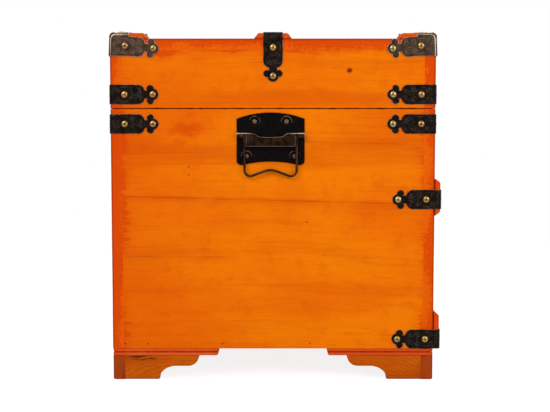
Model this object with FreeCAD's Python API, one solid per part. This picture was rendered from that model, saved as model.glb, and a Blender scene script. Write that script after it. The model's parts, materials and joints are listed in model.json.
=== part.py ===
"""Sea chest: a pine box on bracket feet, with a battened lid, black iron straps and corner caps.

Millimetres. +Z is up, +X runs along the chest, and the front is at -Y. The origin is on the
floor, in the middle of the whole object's footprint. Every piece is one solid; nodes that hold
several alike pieces hold one solid for each.
"""

import FreeCAD
import Part

import math
import os

V = FreeCAD.Vector

# ---------------------------------------------------------------- driving dimensions
# Carcass
LENGTH = 800.0
DEPTH = 450.0
BODY_HEIGHT = 335.0  # walls of the lower box
LID_HEIGHT = 95.5  # walls of the lid, with its top board
SEAM_GAP = 0.5  # between the two rims when the lid is shut
WALL = 16.0  # every upright board, and the lid's top board
FLOOR = 12.0  # bottom board
EDGE_ROUND = 4.0  # upright corners, and the rims of the outer battens
EDGE_FLATS = 4  # in each of these roundings

# Battens
BATTEN_WIDTH = 52.0
BATTEN_THICK = 8.0
BATTEN_CHAMFER = 6.0  # width of the sloping side; it falls by the full thickness
BODY_BATTEN_HEIGHT = 186.4  # underside of the upper front batten, above the box's underside

# Bracket feet
FOOT_INSET = 1.0
BRACKET_HEIGHT = 34.0
BRACKET_LENGTH = 120.0
BRACKET_BOARD = 16.0
BRACKET_TOE = 64.0  # flat that stands on the floor
BRACKET_STEP = 19.0  # height of the flat between the two curves
BRACKET_HOLLOW = 24.0  # run of the hollow curve beside the toe
BRACKET_NOSE = 15.0  # radius of the round curve at the tip
BRACKET_FLATS = 5  # chords in each curve
FOOT_EDGE_BEVEL = 1.7
FOOT_PLATE_THICK = 10.0
FOOT_PLATE_LENGTH = 147.0
FOOT_PLATE_ARM = 45.0
FOOT_GROOVE = 1.2
GLUE_BLOCK = 20.0
GLUE_BLOCK_LIFT = 3.0

# Iron straps with trefoil ends
SHEET = 1.2
LOBE_SIDES = 8
END_LOBE_SIDES = 10
SHOULDER_STEPS = 2
STRAP_WIDTH = 27.0
STRAP_SHOULDER = 49.0  # end of the broad part, from the outer fold
STRAP_SHOULDER_ROUND = 9.0
STRAP_NAIL_1 = 21.5
STRAP_NAIL_2 = 60.5
STRAP_NECK_WIDTH = 12.0
LOBE_BACK = 3.5  # side lobes sit this far before the end lobe
LOBE_SPREAD = 8.3
LOBE_RADIUS = 5.0
END_LOBE_RADIUS = 7.8
BODY_STRAP_DROP = 21.0  # centre of the body's corner straps below the rim
LID_STRAP_RISE = 19.0  # centre of the lid's corner straps above its rim
UPPER_BATTEN_STRAP_DROP = 3.0  # below the middle of its batten

# Corner caps
CAP_SIDE = 26.6  # solid square over the three faces
CAP_SKIRT = 32.0  # depth of the cap down the upright corner
CAP_ARM_DROP = 16.0  # start of the arm's middle line below the batten's top
CAP_ARM_TILT = 5.3  # degrees, falling away from the corner

# Heads of the domed nails and of the screws; their shanks are buried in the boards
NAIL_RADIUS = 5.15
NAIL_HEIGHT = 3.0
SCREW_RADIUS = 3.5
SCREW_HEIGHT = 1.7
HEAD_SIDES = 6
HEAD_CROWN = 0.6  # share of the radius that is left at the crown

# Drop handles
HANDLE_WIDTH = 94.0
HANDLE_HEIGHT = 72.5
HANDLE_TOP_DROP = 5.2  # crown of the plate below the body's rim
HANDLE_OFFSET = 3.3  # towards the back
HANDLE_ARCH = 8.7
HANDLE_FOOT_ARCH = 4.8
HANDLE_CORNER_ROUND = 6.0
HANDLE_CORNER_FLATS = 3
HANDLE_ARCH_FLATS = 10
HANDLE_SHOE = 8.0  # flat of the plate's foot on each side of the arch
HANDLE_SCREW_TOP = (22.0, 12.5)  # across, and down from the crown
HANDLE_SCREW_FOOT = (33.4, 60.3)
DIMPLE_RADIUS = 7.5
DIMPLE_FLOOR_RADIUS = 4.4
DIMPLE_DEPTH = 0.5
DIMPLE_SIDES = 8
PIVOT_DROP = 31.8  # pivot line of the bail below the crown
WIRE_RADIUS = 1.75
WIRE_SIDES = 6
WIRE_STEP = 30.0  # degrees, the most that a wire turns at one corner of its route
RUNNING_FIT = 0.08  # radial play of the bail in its ears
EAR_RADIUS = 4.2
EAR_LENGTH = 7.8
SADDLE_SHEET = 1.3
SADDLE_LEG_GAP = 0.35  # between the skirt and the bail's legs
ROLL_FLATS = 6  # in a half turn of the rolled ears
SADDLE_DROP = 14.9  # lower edge of the skirt below the pivot line
SADDLE_DIP = 2.4  # top edge below the pivot line at the middle
SADDLE_DIP_SAG = 0.6  # of the dip's curved foot
SADDLE_DIP_HALF_TOP = 28.0
SADDLE_DIP_HALF_FOOT = 15.0
WEB_GAP = 0.3  # above a raised leg
BAIL_HALF_SPAN = 36.0
BAIL_ELBOW = 3.0
PIN_ROOT = 0.1  # straight between the elbow and the round pin
EAR_SIDE_GAP = 0.2
BAIL_STRAIGHT = 46.0  # pivot line to the start of the lower bends
BAIL_DEPTH = 57.8
BAIL_LOBE_HALF = 27.0
BAIL_CREST = 9.6  # rise of the grip's middle above its lobes
BAIL_BEND = 9.0
BAIL_CREST_BEND = 22.0

# Back hinges
HINGE_PITCH = 250.0  # from the middle of the chest
HINGE_LENGTH = 60.0
HINGE_LEAF = 30.0
LEAF_SHEET = 1.5
KNUCKLE_RADIUS = 3.5
KNUCKLE_SIDES = 12
KNUCKLE_SIDE_GAP = 0.2
HINGE_STANDOFF = 0.3  # between a knuckle and the boards
PIN_RADIUS = 1.75
PIN_FIT = 0.05
LEAF_NOTCH = 0.3  # round the other leaf's knuckles
HINGE_SCREW_HALF = 20.0
HINGE_SCREW_RISE = 20.0
STOP_WIDTH = 5.0
STOP_REACH = 8.0
LID_OPEN = 100.0  # degrees, where the stops meet
STOP_CLEARANCE = 0.2  # degrees

# Hasp and staple
HASP_WIDTH = 30.0
HASP_LENGTH = 75.0
HASP_PIVOT_RISE = 14.0  # above the seam's middle
HASP_PIVOT_STANDOFF = 4.4
HASP_INNER_OFFSET = 1.0  # from the pivot line to the flap's near face
HASP_KNUCKLE_RADIUS = 3.2
HASP_PIN_RADIUS = 1.5
HASP_START = 4.0  # flap clears the leaf's knuckles from here
HASP_END_ROUND = 9.0
HASP_LEAF_HEIGHT = 26.0
SLOT_WIDTH = 7.0
SLOT_LENGTH = 22.5
STAPLE_DROP = 47.0  # below the hasp's pivot
STAPLE_PLATE = 34.0
STAPLE_PLATE_CORNER = 3.0
STAPLE_BAR = 4.0
STAPLE_HEIGHT = 18.0
STAPLE_REACH = 16.5
STAPLE_ROOT = 7.0  # into the board
STAPLE_FLATS = 6  # chords in the round of the bow
STAPLE_SCREW_HALF = 12.5

# ---------------------------------------------------------------- derived places
FOOT_TOP = BRACKET_HEIGHT + FOOT_PLATE_THICK
BODY_TOP = FOOT_TOP + BODY_HEIGHT
SEAM_MIDDLE = BODY_TOP + SEAM_GAP / 2
LID_FOOT = BODY_TOP + SEAM_GAP
LID_TOP = LID_FOOT + LID_HEIGHT
CROWN = LID_TOP + BATTEN_THICK
END_X = -LENGTH / 2  # face of the left end
FRONT_Y = -DEPTH / 2
BACK_Y = DEPTH / 2
BATTEN_Y = FRONT_Y - BATTEN_THICK
BODY_STRAP_Z = BODY_TOP - BODY_STRAP_DROP
LID_STRAP_Z = LID_FOOT + LID_STRAP_RISE
UPPER_BATTEN_Z = FOOT_TOP + BODY_BATTEN_HEIGHT
UPPER_BATTEN_STRAP_Z = UPPER_BATTEN_Z + BATTEN_WIDTH / 2 - UPPER_BATTEN_STRAP_DROP
LOWER_BATTEN_STRAP_Z = FOOT_TOP + STRAP_WIDTH / 2
HANDLE_CROWN = BODY_TOP - HANDLE_TOP_DROP
EAR_CENTRE = SHEET + EAR_RADIUS  # pivot line's distance from the end board
HINGE_AXIS_Y = BACK_Y + HINGE_STANDOFF + KNUCKLE_RADIUS
HASP_AXIS_Y = FRONT_Y - HASP_PIVOT_STANDOFF
HASP_AXIS_Z = SEAM_MIDDLE + HASP_PIVOT_RISE
STAPLE_Z = HASP_AXIS_Z - STAPLE_DROP

# Lean of the hinge stops' meeting faces from the boards' back, and the footprint's middle,
# between the staple at the front and the tips of the stops at the back
STOP_LEAN = math.radians((180 - LID_OPEN - STOP_CLEARANCE) / 2)
STOP_TIP_Y = HINGE_AXIS_Y + STOP_REACH * math.sin(STOP_LEAN)
FOOTPRINT_MIDDLE = (FRONT_Y - STAPLE_REACH + STOP_TIP_Y) / 2


# ---------------------------------------------------------------- helpers
def block(low, high):
    """Box between two opposite corners."""
    return Part.makeBox(high[0] - low[0], high[1] - low[1], high[2] - low[2], V(*low))


def prism(edges, path):
    """Solid swept along path from a closed outline of edges."""
    return Part.Face(Part.Wire(Part.__sortEdges__(edges))).extrude(path)


def polygon_prism(points, path):
    return Part.Face(Part.makePolygon(points + points[:1])).extrude(path)


def arc(start, middle, end):
    return Part.Arc(start, middle, end).toShape()


def chords(start, middle, end, count):
    """Straight edges from point to point along the arc through three points."""
    return Part.makePolygon(arc(start, middle, end).discretize(count + 1)).Edges


def joined(pieces):
    return pieces[0].fuse(pieces[1:]).removeSplitter()


def picked(shape, chosen):
    """Edges that the test picks by their bounding box."""
    return [edge for edge in shape.Edges if chosen(edge.BoundBox)]


def is_line_at(box, **place):
    """True where an edge's box is a point at each named coordinate."""
    limits = {"x": (box.XMin, box.XMax), "y": (box.YMin, box.YMax), "z": (box.ZMin, box.ZMax)}
    return all(
        abs(low - place[axis]) < 1e-4 and abs(high - place[axis]) < 1e-4
        for axis, (low, high) in limits.items()
        if axis in place
    )


def as_drawn(shape):
    return shape


def mirrored_x(shape):
    return shape.mirror(V(), V(1, 0, 0))


def mirrored_y(shape):
    return shape.mirror(V(), V(0, 1, 0))


def placed(shape, origin, across, up):
    """Moves a piece drawn with X across, Y up and Z outward onto a face of the chest."""
    out = across.cross(up)
    frame = FreeCAD.Matrix(
        across.x, up.x, out.x, origin.x,
        across.y, up.y, out.y, origin.y,
        across.z, up.z, out.z, origin.z,
        0, 0, 0, 1,
    )  # fmt: skip
    return shape.transformed(frame)


def ring(radius, height, sides):
    """Corners of a regular polygon in the XY plane, one of its flats facing +X."""
    turns = [2 * math.pi * (side + 0.5) / sides for side in range(sides)]
    return [V(radius * math.cos(turn), radius * math.sin(turn), height) for turn in turns]


def flat_face(corners):
    """Face through the corners, without those that fall together with the one before."""
    distinct = [
        corner
        for before, corner in zip(corners[-1:] + corners, corners)
        if corner.distanceToPoint(before) > 1e-6
    ]
    return Part.Face(Part.makePolygon(distinct + distinct[:1]))


def skinned(rings):
    """Solid with flat faces from ring to ring of corners, closed over the first and the last."""
    faces = [rings[0], rings[-1]]
    for low, high in zip(rings, rings[1:]):
        for side in range(len(low)):
            after = (side + 1) % len(low)
            faces.append([low[side], low[after], high[after], high[side]])
    solid = Part.Solid(Part.Shell([flat_face(face) for face in faces]))
    return solid if solid.Volume > 0 else solid.reversed()


def faceted(profile, sides):
    """Turned form with flat facets, from its foot to its crown."""
    return skinned([ring(radius, height, sides) for radius, height in profile])


def barrel(start, length, radius, axis_y, axis_z):
    """Knuckle with flat facets, along X from start."""
    corners = ring(radius, 0, KNUCKLE_SIDES)
    ends = (start, start + length)
    return skinned([[V(x, axis_y + corner.x, axis_z + corner.y) for corner in corners] for x in ends])


def arc_points(centre, radius, start, end, steps):
    """Points round an arc in the XY plane, between two angles in degrees."""
    turns = [math.radians(start + (end - start) * step / steps) for step in range(steps + 1)]
    return [centre + V(radius * math.cos(turn), radius * math.sin(turn), 0) for turn in turns]


def wire_route(points, radii):
    """Points along straight runs whose corners are turned in short steps round tangent arcs."""
    route = [points[0]]
    for before, corner, after, bend in zip(points, points[1:], points[2:], radii):
        into = (corner - before).normalize()
        away = (after - corner).normalize()
        turn = into.getAngle(away)
        start = corner - into * (bend * math.tan(turn / 2))
        centre = start + into.cross(away).normalize().cross(into) * bend
        steps = math.ceil(math.degrees(turn) / WIRE_STEP)
        for step in range(steps + 1):
            part = turn * step / steps
            route.append(centre + (start - centre) * math.cos(part) + into * (bend * math.sin(part)))
    return route + [points[-1]]


def bent_bar(route, sides, radius):
    """Bar of a faceted section, mitred at each corner of a route in the XY plane."""
    headings = [(after - before).normalize() for before, after in zip(route, route[1:])]
    rings = []
    for at, into, away in zip(route, headings[:1] + headings, headings + headings[-1:]):
        side = V(0, 0, 1).cross((into + away).normalize()) / math.cos(into.getAngle(away) / 2)
        rings.append([at + side * corner.x + V(0, 0, corner.y) for corner in ring(radius, 0, sides)])
    return skinned(rings)


# ---------------------------------------------------------------- fasteners
def head(radius, height):
    return faceted([(radius, 0), (radius * HEAD_CROWN, height)], HEAD_SIDES)


def seated(shape, seat, outward):
    """Sets a head down at seat, its crown on the side that outward points to."""
    across = V(0, 0, 1) if abs(outward.z) < 0.5 else V(1, 0, 0)
    return placed(shape, seat, across, outward.cross(across))


def in_all_corners(seats):
    """Seats of the front left corner, copied to the other three."""
    copies = []
    for place, outward in seats:
        for x in (1, -1):
            for y in (1, -1):
                turned = V(x * outward.x, y * outward.y, outward.z)
                copies.append((V(x * place.x, y * place.y, place.z), turned))
    return copies


def at_both_ends(seats):
    copies = []
    for place, outward in seats:
        for x in (1, -1):
            copies.append((V(x * place.x, place.y, place.z), V(x * outward.x, outward.y, outward.z)))
    return copies


def nail_heads(seats):
    nail = head(NAIL_RADIUS, NAIL_HEIGHT)
    return [seated(nail, place, outward) for place, outward in seats]


def screw_heads(seats):
    screw = head(SCREW_RADIUS, SCREW_HEIGHT)
    return [seated(screw, place, outward) for place, outward in seats]


# ---------------------------------------------------------------- boards
def plan_outline(low_y, high_y, height, radius):
    """Corners of the chest's plan at one height, its four corners rounded by flats.

    The roundings keep their centres, so the whole outline grows with the radius.
    """
    end = LENGTH / 2 - EDGE_ROUND
    front, back = low_y + EDGE_ROUND, high_y - EDGE_ROUND
    points = []
    for x, y, start in ((end, back, 0), (-end, back, 90), (-end, front, 180), (end, front, 270)):
        points += arc_points(V(x, y, height), radius, start, start + 90, EDGE_FLATS)
    return points


def rounded_plan(low_y, high_y, low_z, high_z):
    """Full-length block with its four upright edges rounded."""
    return skinned([plan_outline(low_y, high_y, z, EDGE_ROUND) for z in (low_z, high_z)])


def lid_envelope(grow=0.0):
    """Outside of the lid with its battens, rounded at the uprights and round the crown."""
    radius = EDGE_ROUND + grow
    rings = [plan_outline(FRONT_Y, BACK_Y, LID_FOOT, radius)]
    for step in range(EDGE_FLATS + 1):
        turn = math.radians(90 * step / EDGE_FLATS)
        height = CROWN - EDGE_ROUND + radius * math.sin(turn)
        rings.append(plan_outline(FRONT_Y, BACK_Y, height, radius * math.cos(turn)))
    return skinned(rings)


def carcass_boards():
    envelope = rounded_plan(FRONT_Y, BACK_Y, FOOT_TOP, BODY_TOP)
    front = block((END_X, FRONT_Y, FOOT_TOP), (-END_X, FRONT_Y + WALL, BODY_TOP)).common(envelope)
    inner_y = DEPTH / 2 - WALL
    left = block((END_X, -inner_y, FOOT_TOP), (END_X + WALL, inner_y, BODY_TOP))
    floor = block((END_X + WALL, -inner_y, FOOT_TOP), (-END_X - WALL, inner_y, FOOT_TOP + FLOOR))
    return {
        "front_panel": front,
        "back_panel": mirrored_y(front),
        "end_panel_left": left,
        "end_panel_right": mirrored_x(left),
        "bottom_board": floor,
    }


def lid_boards(envelope):
    under_top = LID_TOP - WALL
    inner_y = DEPTH / 2 - WALL
    top = block((END_X, FRONT_Y, under_top), (-END_X, BACK_Y, LID_TOP)).common(envelope)
    front = block((END_X, FRONT_Y, LID_FOOT), (-END_X, FRONT_Y + WALL, under_top)).common(envelope)
    left = block((END_X, -inner_y, LID_FOOT), (END_X + WALL, inner_y, under_top))
    return {
        "lid_top_board": top,
        "lid_front_panel": front,
        "lid_back_panel": mirrored_y(front),
        "lid_end_panel_left": left,
        "lid_end_panel_right": mirrored_x(left),
    }


def lid_battens(envelope):
    """Three boards along the lid: the outer two flush with its sides, one in the middle."""
    run = V(LENGTH, 0, 0)
    edge_outline = [
        V(END_X, FRONT_Y, LID_TOP),
        V(END_X, FRONT_Y + BATTEN_WIDTH, LID_TOP),
        V(END_X, FRONT_Y + BATTEN_WIDTH - BATTEN_CHAMFER, CROWN),
        V(END_X, FRONT_Y, CROWN),
    ]
    middle_outline = [
        V(END_X, -BATTEN_WIDTH / 2, LID_TOP),
        V(END_X, BATTEN_WIDTH / 2, LID_TOP),
        V(END_X, BATTEN_WIDTH / 2 - BATTEN_CHAMFER, CROWN),
        V(END_X, -BATTEN_WIDTH / 2 + BATTEN_CHAMFER, CROWN),
    ]
    front = polygon_prism(edge_outline, run).common(envelope)
    return {
        "lid_batten_front": front,
        "lid_batten_back": mirrored_y(front),
        "lid_batten_middle": polygon_prism(middle_outline, run).common(envelope),
    }


def front_batten(foot, lower_chamfer):
    """Board along the front, its ends flush with the ends of the chest."""
    outline = [
        V(END_X, FRONT_Y, foot),
        V(END_X, FRONT_Y, foot + BATTEN_WIDTH),
        V(END_X, BATTEN_Y, foot + BATTEN_WIDTH - BATTEN_CHAMFER),
        V(END_X, BATTEN_Y, foot + lower_chamfer),
    ]
    round_ends = rounded_plan(BATTEN_Y, BACK_Y, foot, foot + BATTEN_WIDTH)
    return polygon_prism(outline, V(LENGTH, 0, 0)).common(round_ends)


# ---------------------------------------------------------------- feet
def bracket_outline(start):
    """Side view of a bracket board, from start to its tip: toe, hollow, step and nose."""
    hollow_end = BRACKET_TOE + BRACKET_HOLLOW
    nose_start = BRACKET_LENGTH - BRACKET_NOSE
    half = math.sqrt(0.5)
    toe = V(BRACKET_TOE, 0, 0)
    step_in = V(hollow_end, 0, BRACKET_STEP)
    step_out = V(nose_start, 0, BRACKET_STEP)
    tip = V(BRACKET_LENGTH, 0, BRACKET_HEIGHT)
    hollow_middle = V(hollow_end - half * BRACKET_HOLLOW, 0, half * BRACKET_STEP)
    nose_middle = V(
        nose_start + half * BRACKET_NOSE, 0, BRACKET_STEP + (1 - half) * (BRACKET_HEIGHT - BRACKET_STEP)
    )
    low, high = V(start, 0, 0), V(start, 0, BRACKET_HEIGHT)
    return [
        Part.makeLine(low, toe),
        *chords(toe, hollow_middle, step_in, BRACKET_FLATS),
        Part.makeLine(step_in, step_out),
        *chords(step_out, nose_middle, tip, BRACKET_FLATS),
        Part.makeLine(tip, high),
        Part.makeLine(high, low),
    ]


def bracket_board(start):
    """Board with its face at Y = 0, bevelled along the outer edge of the toe."""
    board = prism(bracket_outline(start), V(0, BRACKET_BOARD, 0))
    return board.makeChamfer(FOOT_EDGE_BEVEL, picked(board, lambda box: is_line_at(box, y=0, z=0)))


def front_left_foot():
    """Two bracket boards, the glue block behind their joint and the plate above them."""
    corner = V(END_X + FOOT_INSET, FRONT_Y + FOOT_INSET, 0)
    long_board = bracket_board(0)
    short_board = bracket_board(BRACKET_BOARD).mirror(V(), V(1, -1, 0))
    glue_block = block(
        (BRACKET_BOARD, BRACKET_BOARD, GLUE_BLOCK_LIFT),
        (BRACKET_BOARD + GLUE_BLOCK, BRACKET_BOARD + GLUE_BLOCK, BRACKET_HEIGHT),
    )
    return {
        "side": long_board.translated(corner),
        "end": short_board.translated(corner),
        "glue_block": glue_block.translated(corner),
        "plate": foot_plate().translated(corner),
    }


def foot_plate():
    """L-shaped plate with a quirk groove round its outer edge and bevelled free ends."""
    points = [
        V(0, 0, BRACKET_HEIGHT),
        V(FOOT_PLATE_LENGTH, 0, BRACKET_HEIGHT),
        V(FOOT_PLATE_LENGTH, FOOT_PLATE_ARM, BRACKET_HEIGHT),
        V(FOOT_PLATE_ARM, FOOT_PLATE_ARM, BRACKET_HEIGHT),
        V(FOOT_PLATE_ARM, FOOT_PLATE_LENGTH, BRACKET_HEIGHT),
        V(0, FOOT_PLATE_LENGTH, BRACKET_HEIGHT),
    ]
    plate = polygon_prism(points, V(0, 0, FOOT_PLATE_THICK))
    free_ends = picked(plate, lambda box: is_line_at(box, x=FOOT_PLATE_LENGTH, z=BRACKET_HEIGHT))
    free_ends += picked(plate, lambda box: is_line_at(box, y=FOOT_PLATE_LENGTH, z=BRACKET_HEIGHT))
    plate = plate.makeChamfer(FOOT_EDGE_BEVEL, free_ends)
    groove_low = BRACKET_HEIGHT + (FOOT_PLATE_THICK - FOOT_GROOVE) / 2
    groove_high = groove_low + FOOT_GROOVE
    along_x = block((0, 0, groove_low), (FOOT_PLATE_LENGTH, FOOT_GROOVE, groove_high))
    along_y = block((0, 0, groove_low), (FOOT_GROOVE, FOOT_PLATE_LENGTH, groove_high))
    return plate.cut([along_x, along_y])


# ---------------------------------------------------------------- straps and caps
def strap_arm(start, thickness):
    """Flat arm on Z = 0, along +X from start: broad part, neck and the three lobes of its end.

    X counts from the outer side of the fold.
    """
    edge = STRAP_WIDTH / 2
    bend = STRAP_SHOULDER_ROUND
    shoulder = V(STRAP_SHOULDER - bend, edge - bend, 0)
    lower = V(shoulder.x, -shoulder.y, 0)
    broad = [
        V(start, -edge, 0),
        *arc_points(lower, bend, -90, 0, SHOULDER_STEPS),
        *arc_points(shoulder, bend, 0, 90, SHOULDER_STEPS),
        V(start, edge, 0),
    ]
    neck = block(
        (shoulder.x, -STRAP_NECK_WIDTH / 2, 0), (STRAP_NAIL_2, STRAP_NECK_WIDTH / 2, thickness)
    )
    lobe = faceted([(LOBE_RADIUS, 0), (LOBE_RADIUS, thickness)], LOBE_SIDES)
    end_lobe = faceted([(END_LOBE_RADIUS, 0), (END_LOBE_RADIUS, thickness)], END_LOBE_SIDES)
    return joined(
        [
            polygon_prism(broad, V(0, 0, thickness)),
            neck,
            lobe.translated(V(STRAP_NAIL_2 - LOBE_BACK, LOBE_SPREAD, 0)),
            lobe.translated(V(STRAP_NAIL_2 - LOBE_BACK, -LOBE_SPREAD, 0)),
            end_lobe.translated(V(STRAP_NAIL_2, 0, 0)),
        ]
    )


def folded_strap():
    """Strap round a rounded upright edge through the origin, level with Z = 0.

    The chest fills +X and +Y. One arm lies on Y = 0 and the other on X = 0.
    """
    half = math.sqrt(0.5)
    inner, outer = EDGE_ROUND, EDGE_ROUND + SHEET
    foot = -STRAP_WIDTH / 2
    centre = V(inner, inner, foot)
    fold = prism(
        [
            *chords(
                V(inner, -SHEET, foot),
                centre - V(half * outer, half * outer, 0),
                V(-SHEET, inner, foot),
                EDGE_FLATS,
            ),
            Part.makeLine(V(-SHEET, inner, foot), V(0, inner, foot)),
            *chords(
                V(0, inner, foot),
                centre - V(half * inner, half * inner, 0),
                V(inner, 0, foot),
                EDGE_FLATS,
            ),
            Part.makeLine(V(inner, 0, foot), V(inner, -SHEET, foot)),
        ],
        V(0, 0, STRAP_WIDTH),
    )
    on_front = placed(strap_arm(outer, SHEET), V(-SHEET, 0, 0), V(1, 0, 0), V(0, 0, 1))
    on_end = on_front.mirror(V(), V(1, -1, 0))
    return joined([fold, on_front, on_end])


def strap_seats(corner):
    """Nail places of the folded strap at a front left corner, with their outward directions."""
    seats = []
    for distance in (STRAP_NAIL_1 - SHEET, STRAP_NAIL_2 - SHEET):
        seats.append((corner + V(distance, -SHEET, 0), V(0, -1, 0)))
        seats.append((corner + V(-SHEET, distance, 0), V(-1, 0, 0)))
    return seats


def corner_straps(height):
    """One strap round each upright edge of the chest, and the seats of their nails."""
    corner = V(END_X, FRONT_Y, height)
    left = folded_strap().translated(corner)
    front = [left, mirrored_x(left)]
    return front + [mirrored_y(strap) for strap in front], in_all_corners(strap_seats(corner))


def batten_straps(height):
    """A strap over each end of a front batten, and the seats of their nails."""
    corner = V(END_X, BATTEN_Y, height)
    left = folded_strap().translated(corner)
    return [left, mirrored_x(left)], at_both_ends(strap_seats(corner))


def crown_straps():
    """A strap over each end of the lid's middle batten, and the seats of their nails."""
    corner = V(END_X, 0, CROWN)
    left = placed(folded_strap(), corner, V(1, 0, 0), V(0, 0, -1))
    seats = []
    for distance in (STRAP_NAIL_1 - SHEET, STRAP_NAIL_2 - SHEET):
        seats.append((corner + V(distance, 0, SHEET), V(0, 0, 1)))
        seats.append((corner + V(-SHEET, 0, -distance), V(-1, 0, 0)))
    return [left, mirrored_x(left)], at_both_ends(seats)


def cap_arm_places():
    """Where each of the three arms lies: its start, its direction and the direction to its left."""
    tilt = math.radians(CAP_ARM_TILT)
    diagonal = V(1, 1, 0).normalize()
    along_end = V(0, math.cos(tilt), -math.sin(tilt))
    along_front = V(math.cos(tilt), 0, -math.sin(tilt))
    return [
        (V(0, 0, -CAP_ARM_DROP), along_end, V(1, 0, 0).cross(along_end) * -1),
        (V(0, 0, -CAP_ARM_DROP), along_front, V(0, -1, 0).cross(along_front)),
        (V(0, 0, 0), diagonal, V(0, 0, 1).cross(diagonal)),
    ]


def corner_caps():
    """Drawn three-arm caps over the lid's corners: a thin shell cut to the arms' outline."""
    shell = lid_envelope(SHEET).cut(lid_envelope())
    body = block((-SHEET, -SHEET, -CAP_SKIRT), (CAP_SIDE, CAP_SIDE, SHEET))
    arm = strap_arm(0, 2 * SHEET)
    corner = V(END_X, FRONT_Y, CROWN)
    arms, seats = [], []
    for start, along, left in cap_arm_places():
        outward = along.cross(left)
        arms.append(placed(arm, start, along, left))
        for distance in (STRAP_NAIL_1, STRAP_NAIL_2):
            seats.append((corner + start + along * distance + outward * SHEET, outward))
    cap = shell.common(joined([body, *arms]).translated(corner))
    front = [cap, mirrored_x(cap)]
    return front + [mirrored_y(piece) for piece in front], in_all_corners(seats)


# ---------------------------------------------------------------- drop handles
def on_left_end(shape):
    """Puts a piece drawn with X across, Y up from the handle's crown and Z outward in its place."""
    return placed(shape, V(END_X, HANDLE_OFFSET, HANDLE_CROWN), V(0, -1, 0), V(0, 0, 1))


def handle_screw_seats():
    return [
        V(side * across, -down, SHEET - DIMPLE_DEPTH)
        for across, down in (HANDLE_SCREW_TOP, HANDLE_SCREW_FOOT)
        for side in (-1, 1)
    ]


def handle_plate():
    """Pressed back plate: arched top and foot, and a dished seat for each screw."""
    half = HANDLE_WIDTH / 2
    corner = HANDLE_CORNER_ROUND
    bend = corner * (1 - math.sqrt(0.5))
    foot = -HANDLE_HEIGHT
    shoe = half - HANDLE_SHOE
    right = [
        Part.makeLine(V(shoe, foot, 0), V(half - corner, foot, 0)),
        *chords(
            V(half - corner, foot, 0),
            V(half - bend, foot + bend, 0),
            V(half, foot + corner, 0),
            HANDLE_CORNER_FLATS,
        ),
        Part.makeLine(V(half, foot + corner, 0), V(half, -HANDLE_ARCH, 0)),
    ]
    left = [edge.mirror(V(), V(1, 0, 0)) for edge in right]
    crown = chords(V(half, -HANDLE_ARCH, 0), V(), V(-half, -HANDLE_ARCH, 0), HANDLE_ARCH_FLATS)
    arch_top = V(0, foot + HANDLE_FOOT_ARCH, 0)
    arch = chords(V(-shoe, foot, 0), arch_top, V(shoe, foot, 0), HANDLE_ARCH_FLATS)
    plate = prism([*right, *crown, *left, *arch], V(0, 0, SHEET))
    dimple = faceted([(DIMPLE_FLOOR_RADIUS, 0), (DIMPLE_RADIUS, DIMPLE_DEPTH)], DIMPLE_SIDES)
    return plate.cut([dimple.translated(seat) for seat in handle_screw_seats()])


def saddle_hood(half_length):
    """Sheet rolled over the pivot line and hanging down as a skirt, drawn in the YZ plane."""
    top = EAR_RADIUS
    out = EAR_CENTRE + EAR_RADIUS
    inner = EAR_RADIUS - SADDLE_SHEET
    half = math.sqrt(0.5)

    def at(up, outward):
        return V(-half_length, up, outward)

    outline = [
        Part.makeLine(at(top, SHEET), at(top, EAR_CENTRE)),
        *chords(
            at(top, EAR_CENTRE), at(half * top, EAR_CENTRE + half * top), at(0, out), ROLL_FLATS // 2
        ),
        Part.makeLine(at(0, out), at(-SADDLE_DROP, out)),
        Part.makeLine(at(-SADDLE_DROP, out), at(-SADDLE_DROP, out - SADDLE_SHEET)),
        Part.makeLine(at(-SADDLE_DROP, out - SADDLE_SHEET), at(0, out - SADDLE_SHEET)),
        *chords(
            at(0, out - SADDLE_SHEET),
            at(half * inner, EAR_CENTRE + half * inner),
            at(inner, EAR_CENTRE),
            ROLL_FLATS // 2,
        ),
        Part.makeLine(at(inner, EAR_CENTRE), at(inner, SHEET)),
        Part.makeLine(at(inner, SHEET), at(top, SHEET)),
    ]
    return prism(outline, V(2 * half_length, 0, 0))


def saddle_ear(start):
    """Ear on the plate, rounded outward, with the bore for the bail's pin."""
    low, high = V(start, -EAR_RADIUS, SHEET), V(start, EAR_RADIUS, SHEET)
    reach = V(0, 0, EAR_RADIUS)
    outline = [
        Part.makeLine(low, high),
        Part.makeLine(high, high + reach),
        *chords(high + reach, V(start, 0, EAR_CENTRE + EAR_RADIUS), low + reach, ROLL_FLATS),
        Part.makeLine(low + reach, low),
    ]
    bore = Part.makeCylinder(
        WIRE_RADIUS + RUNNING_FIT, EAR_LENGTH, V(start, 0, EAR_CENTRE), V(1, 0, 0)
    )
    return prism(outline, V(EAR_LENGTH, 0, 0)).cut(bore)


def saddle_dip():
    """What is cut from the hood's top edge, so that it sags between the ears."""
    top = EAR_RADIUS + 1
    foot = -SADDLE_DIP + SADDLE_DIP_SAG
    reach = V(0, 0, EAR_CENTRE + EAR_RADIUS + 1)
    corners = [
        V(-SADDLE_DIP_HALF_TOP, top, 0),
        V(-SADDLE_DIP_HALF_FOOT, foot, 0),
        V(SADDLE_DIP_HALF_FOOT, foot, 0),
        V(SADDLE_DIP_HALF_TOP, top, 0),
    ]
    edges = [
        Part.makeLine(corners[0], corners[1]),
        arc(corners[1], V(0, -SADDLE_DIP, 0), corners[2]),
        Part.makeLine(corners[2], corners[3]),
        Part.makeLine(corners[3], corners[0]),
    ]
    return prism(edges, reach)


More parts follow.
